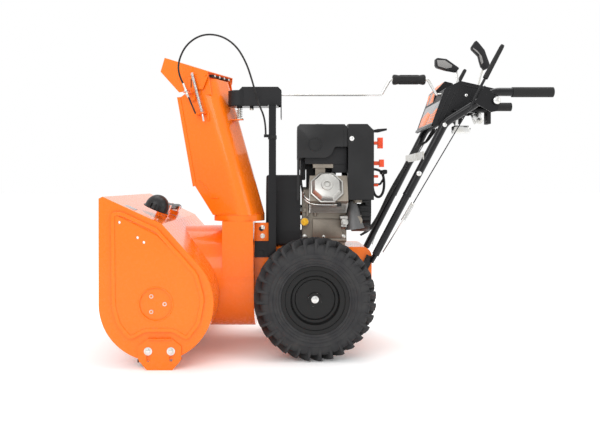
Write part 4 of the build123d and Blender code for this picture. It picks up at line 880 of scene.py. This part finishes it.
def cover_trim():
    """Bottom lip and fold of the engine shroud, the post's bracket and the cable's clip band."""
    lip = [slab((0.0600, -0.1722, 0.5312), (0.1478, -0.1700, 0.5345), 0.0008),
           slab((0.0600, -0.1722, 0.5312), (0.1478, -0.1640, 0.5335), 0.0008),
           slab((0.0603, -0.1724, 0.534), (0.0617, -0.1712, 0.789), 0.0004)]
    put(lip, "shroud_folds", SHROUD)
    bracket = [slab((-0.2640, -0.1312, 0.3870), (-0.2148, -0.1280, 0.4510), 0.0012),
               slab((-0.2640, -0.1500, 0.3870), (-0.2615, -0.1290, 0.4510), 0.0008)]
    put(bracket, "post_bracket", ORANGE)
    bolts = []
    for z in (0.405, 0.434):
        bolts += hex_bolt((-0.236, -0.1312, z), (0, -1, 0), 0.011)
    put(bolts, "post_bolts", ZINC)
    clamp = [slab((-0.2160, -0.1560, 0.7400), (-0.1860, -0.1530, 0.7540), 0.0008),
             drum((-0.2000, -0.1560, 0.7470), (-0.2000, -0.1600, 0.7470), 0.0045, 0.0008, 16)]
    put(clamp, "cable_clip", BELT)


def crank_handle():
    """Moulded crank grip: barrel with swelled ends and long shallow ribs."""
    low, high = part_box("crank_grip")
    y, z = (low[1] + high[1]) / 2, (low[2] + high[2]) / 2
    long = high[0] - low[0]
    profile = [(0.0056, 0.0), (0.0150, 0.0), (0.0178, 0.0030), (0.0183, 0.0080), (0.0172, 0.0140),
               (0.0160, 0.0200), (0.0160, long - 0.0200), (0.0172, long - 0.0140),
               (0.0183, long - 0.0080), (0.0178, long - 0.0030), (0.0150, long), (0.0056, long)]
    barrel = lathe(profile, (low[0], y, z), (1, 0, 0), 40)
    ribs = []
    for k in range(8):
        turn = math.tau * (k + 0.5) / 8
        spot = Vector((0, math.cos(turn), math.sin(turn))) * 0.0158
        ribs.append(drum(Vector((low[0] + 0.024, y, z)) + spot,
                         Vector((high[0] - 0.024, y, z)) + spot, 0.0018, 0.0006, 8))
    made = put([barrel] + ribs, "crank_barrel", SOFT_GRIP, "chute_handle")
    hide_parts("crank_grip")


# ---- levers, console and controls ----------------------------------------------------------

def paddle(outline, y, half, soft=0.004):
    """Moulded knob: a softened slab on an outline of (x, z) points."""
    points = [(x / 1000, y - half, z / 1000) for x, z in outline]
    return outline_plate(points, (0, 2 * half, 0), soft)


def lever_knobs():
    """Two-tone knobs, steel stalks and pins of the chute and speed levers."""
    sets = (
        ("deflector_lever", "tilt_lever", -0.070, (466, 880), (457, 990), 9.0,
         [(379, 1032), (386, 1036), (418, 1032), (462, 1001), (463, 997), (453, 986), (418, 992),
          (384, 1002), (379, 1010)],
         [(383, 1028), (412, 1027), (438, 1009), (436, 1001), (417, 997), (387, 1006)]),
        ("speed_lever", "drive_lever", 0.010, (534, 878), (574, 1010), 9.0,
         [(546, 1117), (556, 1108), (578, 1081), (597, 1028), (592, 1014), (580, 1007), (566, 1019),
          (555, 1059), (529, 1085), (530, 1093)],
         [(533, 1089), (549, 1078), (566, 1058), (572, 1034), (566, 1026), (561, 1040), (556, 1064),
          (534, 1083)]),
    )
    for node, body, y, pivot, top, wide, skin, inset in sets:
        knob = paddle(skin, y, 0.0125, 0.0045)
        put(knob, node + "_knob", BLACK_MOULD, body)
        pad = paddle(inset, y, 0.0136, 0.0012)
        put(pad, node + "_pad", PAD_GREY, body)
        run = Vector((top[0] - pivot[0], 0, top[1] - pivot[1])).normalized()
        across = Vector((run.z, 0, -run.x)) * wide / 2
        foot = Vector((pivot[0], 0, pivot[1]))
        head = Vector((top[0], 0, top[1]))
        corners = [foot - across, foot + across, head + across, head - across]
        stalk = paddle([(p.x, p.z) for p in corners], y, 0.0020, 0.0008)
        pin = drum((pivot[0] / 1000, y - 0.0125, pivot[1] / 1000),
                   (pivot[0] / 1000, y + 0.0125, pivot[1] / 1000), 0.0040, 0.0006, 20)
        hub = drum((pivot[0] / 1000, y - 0.005, pivot[1] / 1000),
                   (pivot[0] / 1000, y + 0.005, pivot[1] / 1000), 0.0088, 0.0008, 28)
        made = put([stalk, pin, hub], node + "_stalk", BRIGHT, body)
        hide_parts(node)


def clutch_levers():
    """Tapered rubber sleeves on the levers; cable, spring and rod of each clutch link."""
    tail, top = Vector((0.469, 0, 0.861)), Vector((0.566, 0, 1.044))
    way = Vector((0.508, 0, 0.861)).normalized()
    for side, tag in SIDES:
        y = Vector((0, side * 0.237, 0))
        sleeve = lathe([(0.0, 0.0), (0.0085, 0.0), (0.0088, 0.002), (0.0084, 0.030), (0.0076, 0.100),
                        (0.0074, 0.118), (0.0060, 0.1255), (0.0, 0.1270)],
                       tail.lerp(top, 0.42) + y, top - tail, 28)
        put(sleeve, "clutch_sleeve_" + tag, SOFT_GRIP, "clutch_" + tag)
        hook = tail + Vector((0, side * 0.246, 0))
        low, foot = hook - way * 0.395, hook - way * 0.460
        cable = [drum(low, hook - way * 0.004, 0.0018, 0.0003, 12),
                 drum(hook - way * 0.030, hook - way * 0.002, 0.0034, 0.0006, 12),
                 drum(hook - Vector((0, side * 0.006, 0)), hook + Vector((0, side * 0.004, 0)), 0.0036,
                      0.0006, 12)]
        made = put(cable, "clutch_cable_" + tag, BLACK_STEEL, "link_" + tag)
        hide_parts("clutch_link_" + tag)
        steel = [coil(low, foot, 0.0070, 0.0014, 18),
                 drum(low - way * 0.003, low + way * 0.002, 0.0076, 0.0006, 20),
                 drum(foot - way * 0.002, foot + way * 0.003, 0.0076, 0.0006, 20),
                 drum(foot, (0.182, side * 0.150, 0.350), 0.0025, 0.0004, 12)]
        put(steel, "clutch_spring_" + tag, BRIGHT, "link_" + tag)


def console_trim():
    """Framed front panel with plain two-colour decals, the hump's faces and the side ribs."""
    foot = Vector((0.350, 0, 0.780))
    run = Vector((0.400, 0, 0.919)) - foot
    out = Vector((-run.z, 0, run.x)).normalized()

    def on_front(spots, lift, thick):
        places = [foot + run * t + out * lift + Vector((0, y, 0)) for y, t in spots]
        return outline_plate(places, out * thick, 0.0003)

    base = on_front([(-0.144, 0.12), (0.120, 0.12), (0.120, 0.70), (-0.144, 0.70)], 0.0002, 0.0010)
    put(base, "console_panel", PANEL_GREY)
    shapes = [on_front(spots, 0.0012, 0.0006) for spots in (
        [(-0.140, 0.15), (-0.020, 0.15), (-0.046, 0.40), (-0.140, 0.52)],
        [(-0.006, 0.15), (0.116, 0.15), (0.116, 0.40), (0.040, 0.54), (-0.034, 0.42)])]
    put(shapes, "console_decals", DECAL_ORANGE)
    bars = [on_front([(-0.134, 0.20 + 0.07 * k), (-0.062, 0.20 + 0.07 * k), (-0.062, 0.215 + 0.07 * k),
                      (-0.134, 0.215 + 0.07 * k)], 0.0019, 0.0004) for k in range(4)]
    put(bars, "console_marks", PANEL_GREY)
    frame_strips = [on_front([(-0.1495, 0.04), (-0.1440, 0.04), (-0.1440, 0.97), (-0.1495, 0.97)],
                             0.0002, 0.0030),
                    on_front([(-0.1495, 0.04), (0.1495, 0.04), (0.1495, 0.10), (-0.1495, 0.10)],
                             0.0002, 0.0030)]
    put(frame_strips, "console_frame", SHROUD)
    hump_faces()
    side_ribs()


def hump_faces():
    """Two-colour faces on the raised hump behind the crank."""
    plates, marks = [], []
    low, high = -0.003, 0.119
    for (x0, z0), (x1, z1) in (((0.3865, 0.883), (0.396, 0.928)), ((0.396, 0.928), (0.430, 0.964))):
        run = Vector((x1 - x0, 0, z1 - z0))
        out = Vector((-run.z, 0, run.x)).normalized()
        base, left, right = Vector((x0, 0, z0)), Vector((0, low, 0)), Vector((0, high, 0))
        plates.append(outline_plate([base + left + run * 0.04, base + right + run * 0.04,
                                     base + right + run * 0.96, base + left + run * 0.96],
                                    out * 0.0009, 0.0002))
        lift = base + out * 0.0009
        marks.append(outline_plate([lift + left * 0.4 + run * 0.1, lift + right * 0.55 + run * 0.1,
                                    lift + right * 0.30 + run * 0.9, lift + left * 0.4 + run * 0.9],
                                   out * 0.0006, 0.0002))
        marks.append(outline_plate([lift + right * 0.80 + run * 0.1, lift + right * 0.96 + run * 0.1,
                                    lift + right * 0.96 + run * 0.9, lift + right * 0.62 + run * 0.9],
                                   out * 0.0006, 0.0002))
    put(plates, "hump_panel", PANEL_GREY)
    put(marks, "hump_decal", DECAL_ORANGE)


def side_ribs():
    """Pressed ribs and screws on the console's side walls."""
    ribs, screws = [], []
    for side in (-1, 1):
        y = side * 0.1500
        for (xa, za), (xb, zb) in (((0.372, 0.806), (0.416, 0.918)), ((0.392, 0.812), (0.431, 0.902)),
                                   ((0.455, 0.930), (0.560, 0.906)), ((0.470, 0.868), (0.548, 0.862))):
            ribs.append(drum((xa, y, za), (xb, y, zb), 0.0017, 0.0005, 10))
        for x, z in ((0.470, 0.893), (0.540, 0.880)):
            screws.append(dome_bolt((x, side * 0.1502, z), (0, side, 0), 0.0052))
    put(ribs, "console_ribs", SHROUD)
    put(screws, "console_screws", BRIGHT)


def bar_spot(z, side, out=0.0):
    """A place on the handlebar's lower run at a height, moved outwards."""
    share = (z - 0.295) / 0.502
    return Vector((0.133 + 0.260 * share, side * (0.140 + 0.027 * share + out), z))


def handlebar_hardware():
    """Bolts, sleeve collars, pivot bolts, cable blocks and hooks."""
    bolts, collars = [], []
    for side in (-1, 1):
        bolts.append(dome_bolt(bar_spot(0.622, side, 0.0138), (0, side, 0), 0.0090))
        bolts.append(dome_bolt(bar_spot(0.788, side, 0.0146), (0, side, 0), 0.0075))
        a, b = bar_spot(0.545, side), bar_spot(0.553, side)
        collars.append(drum(a, b, 0.0150, 0.0012, 32))
    put(bolts, "handlebar_bolts", BRIGHT)
    put(collars, "handlebar_collars", TUBE_BLACK)
    pivots = [dome_bolt((0.546, side * 0.2485, 0.863), (0, side, 0), 0.0125) for side in (-1, 1)]
    put(pivots, "clutch_pivot_bolts", BRIGHT)
    blocks = [slab((0.4330, -0.128, 0.7640), (0.4880, -0.088, 0.7900), 0.003),
              drum((0.4880, -0.108, 0.7770), (0.4960, -0.108, 0.7770), 0.0065, 0.001, 6),
              slab((0.4400, -0.120, 0.7900), (0.4500, -0.096, 0.8600), 0.002)]
    gate = slab((0.5030, -0.126, 0.8000), (0.5330, -0.096, 0.8380), 0.003)
    swing(gate, (0.518, 0, 0.819), -22)
    blocks += [gate] + hex_bolt((0.522, -0.128, 0.806), (0, -1, 0), 0.014)
    put(blocks, "cable_blocks", BRIGHT)
    hooks = [slab((0.5480, -0.130, 0.7960), (0.5620, -0.090, 0.8560), 0.002),
             slab((0.4700, -0.128, 0.8380), (0.5600, -0.090, 0.8500), 0.002)]
    put(hooks, "console_hooks", BLACK_MOULD)


def bar_cables():
    """Drive spring beside the near bar and the control cables along the far one."""
    thin = [wire([(0.3820, -0.128, 0.800), (0.3750, -0.130, 0.7450), (0.2646, -0.136, 0.5420),
                  (0.2074, -0.136, 0.4310)], 0.0016, 1)]
    put(thin, "drive_cable", BELT)
    spring = [coil((0.2074, -0.136, 0.4275), (0.1827, -0.136, 0.3760), 0.0062, 0.0013, 16),
              drum((0.1827, -0.136, 0.3770), (0.1600, -0.136, 0.3310), 0.0022, 0.0004, 12)]
    put(spring, "drive_spring", BRIGHT)
    lines = []
    for dy, dx in ((0.0, 0.0), (0.011, -0.004), (-0.010, 0.006)):
        lines.append(wire([(0.4200 + dx, 0.120 + dy, 0.800), (0.3960, 0.125 + dy, 0.7520),
                           (0.3620 + dx, 0.128 + dy, 0.7380), (0.3360, 0.128 + dy, 0.7060),
                           (0.2495 + dx, 0.126 + dy, 0.5600), (0.2020, 0.120 + dy, 0.4640),
                           (0.1650 + dx, 0.110 + dy, 0.4060), (0.1300, 0.100 + dy, 0.3900)],
                          0.0028, 2))
    put(lines, "control_cables", BELT)


# ---- studio ----

def camera():
    eye = bpy.data.cameras.new("camera")
    eye.sensor_width = 36.0
    eye.lens = 39.8
    eye.shift_x = 0.0152
    eye.shift_y = -0.0537
    eye.clip_end = 60.0
    made = bpy.data.objects.new("camera", eye)
    made.location = (-0.137, -2.446, 0.585)
    made.rotation_euler = (math.radians(90), 0, 0)
    bpy.context.scene.collection.objects.link(made)
    bpy.context.scene.camera = made


def soft_light(name, place, aim, size, power, tint=(1, 1, 1)):
    lamp = bpy.data.lights.new(name, "AREA")
    lamp.shape = "RECTANGLE"
    lamp.size, lamp.size_y = size
    lamp.energy = power
    lamp.color = tint
    made = bpy.data.objects.new(name, lamp)
    made.location = place
    made.rotation_euler = (Vector(aim) - Vector(place)).to_track_quat("-Z", "Y").to_euler()
    bpy.context.scene.collection.objects.link(made)


def studio():
    paper = Finish("studio floor")
    paper.set(Base_Color=(0.97, 0.97, 0.97), Roughness=0.9, Emission_Color=(1.0, 1.0, 1.0),
              Emission_Strength=0.06)
    bpy.ops.object.select_all(action="DESELECT")
    bpy.ops.mesh.primitive_plane_add(size=60, location=(0, 8, 0))
    floor = bpy.context.active_object
    floor.name = "floor"
    floor.data.materials.append(paper.material)
    world = bpy.data.worlds.new("studio")
    bpy.context.scene.world = world
    world.use_nodes = True
    sky = world.node_tree.nodes["Background"]
    sky.inputs["Color"].default_value = (1, 1, 1, 1)
    sky.inputs["Strength"].default_value = 1.0
    soft_light("key", (-1.4, -3.2, 2.6), (-0.1, 0, 0.5), (2.6, 1.8), 42)
    soft_light("top", (0.1, 0.4, 3.4), (0, 0, 0.3), (3.4, 2.4), 60)
    soft_light("side", (3.0, -1.6, 1.6), (0.2, 0, 0.5), (1.6, 1.6), 14)
    bpy.context.scene.view_settings.view_transform = "Standard"


camera()
studio()
dress_nodes()
cable()
tyre(-1, "tyre_left")
tyre(1, "tyre_right")
rim_details(-1)
rim_details(1)
deflector_fittings()
valve_cover()
cylinder_fins()
crankcase_details()
shroud_details()
rear_controls()
housing_details()
housing_trim()
cleanout_tool()
muffler_cover()
cover_trim()
crank_handle()
lever_knobs()
clutch_levers()
console_trim()
handlebar_hardware()
bar_cables()
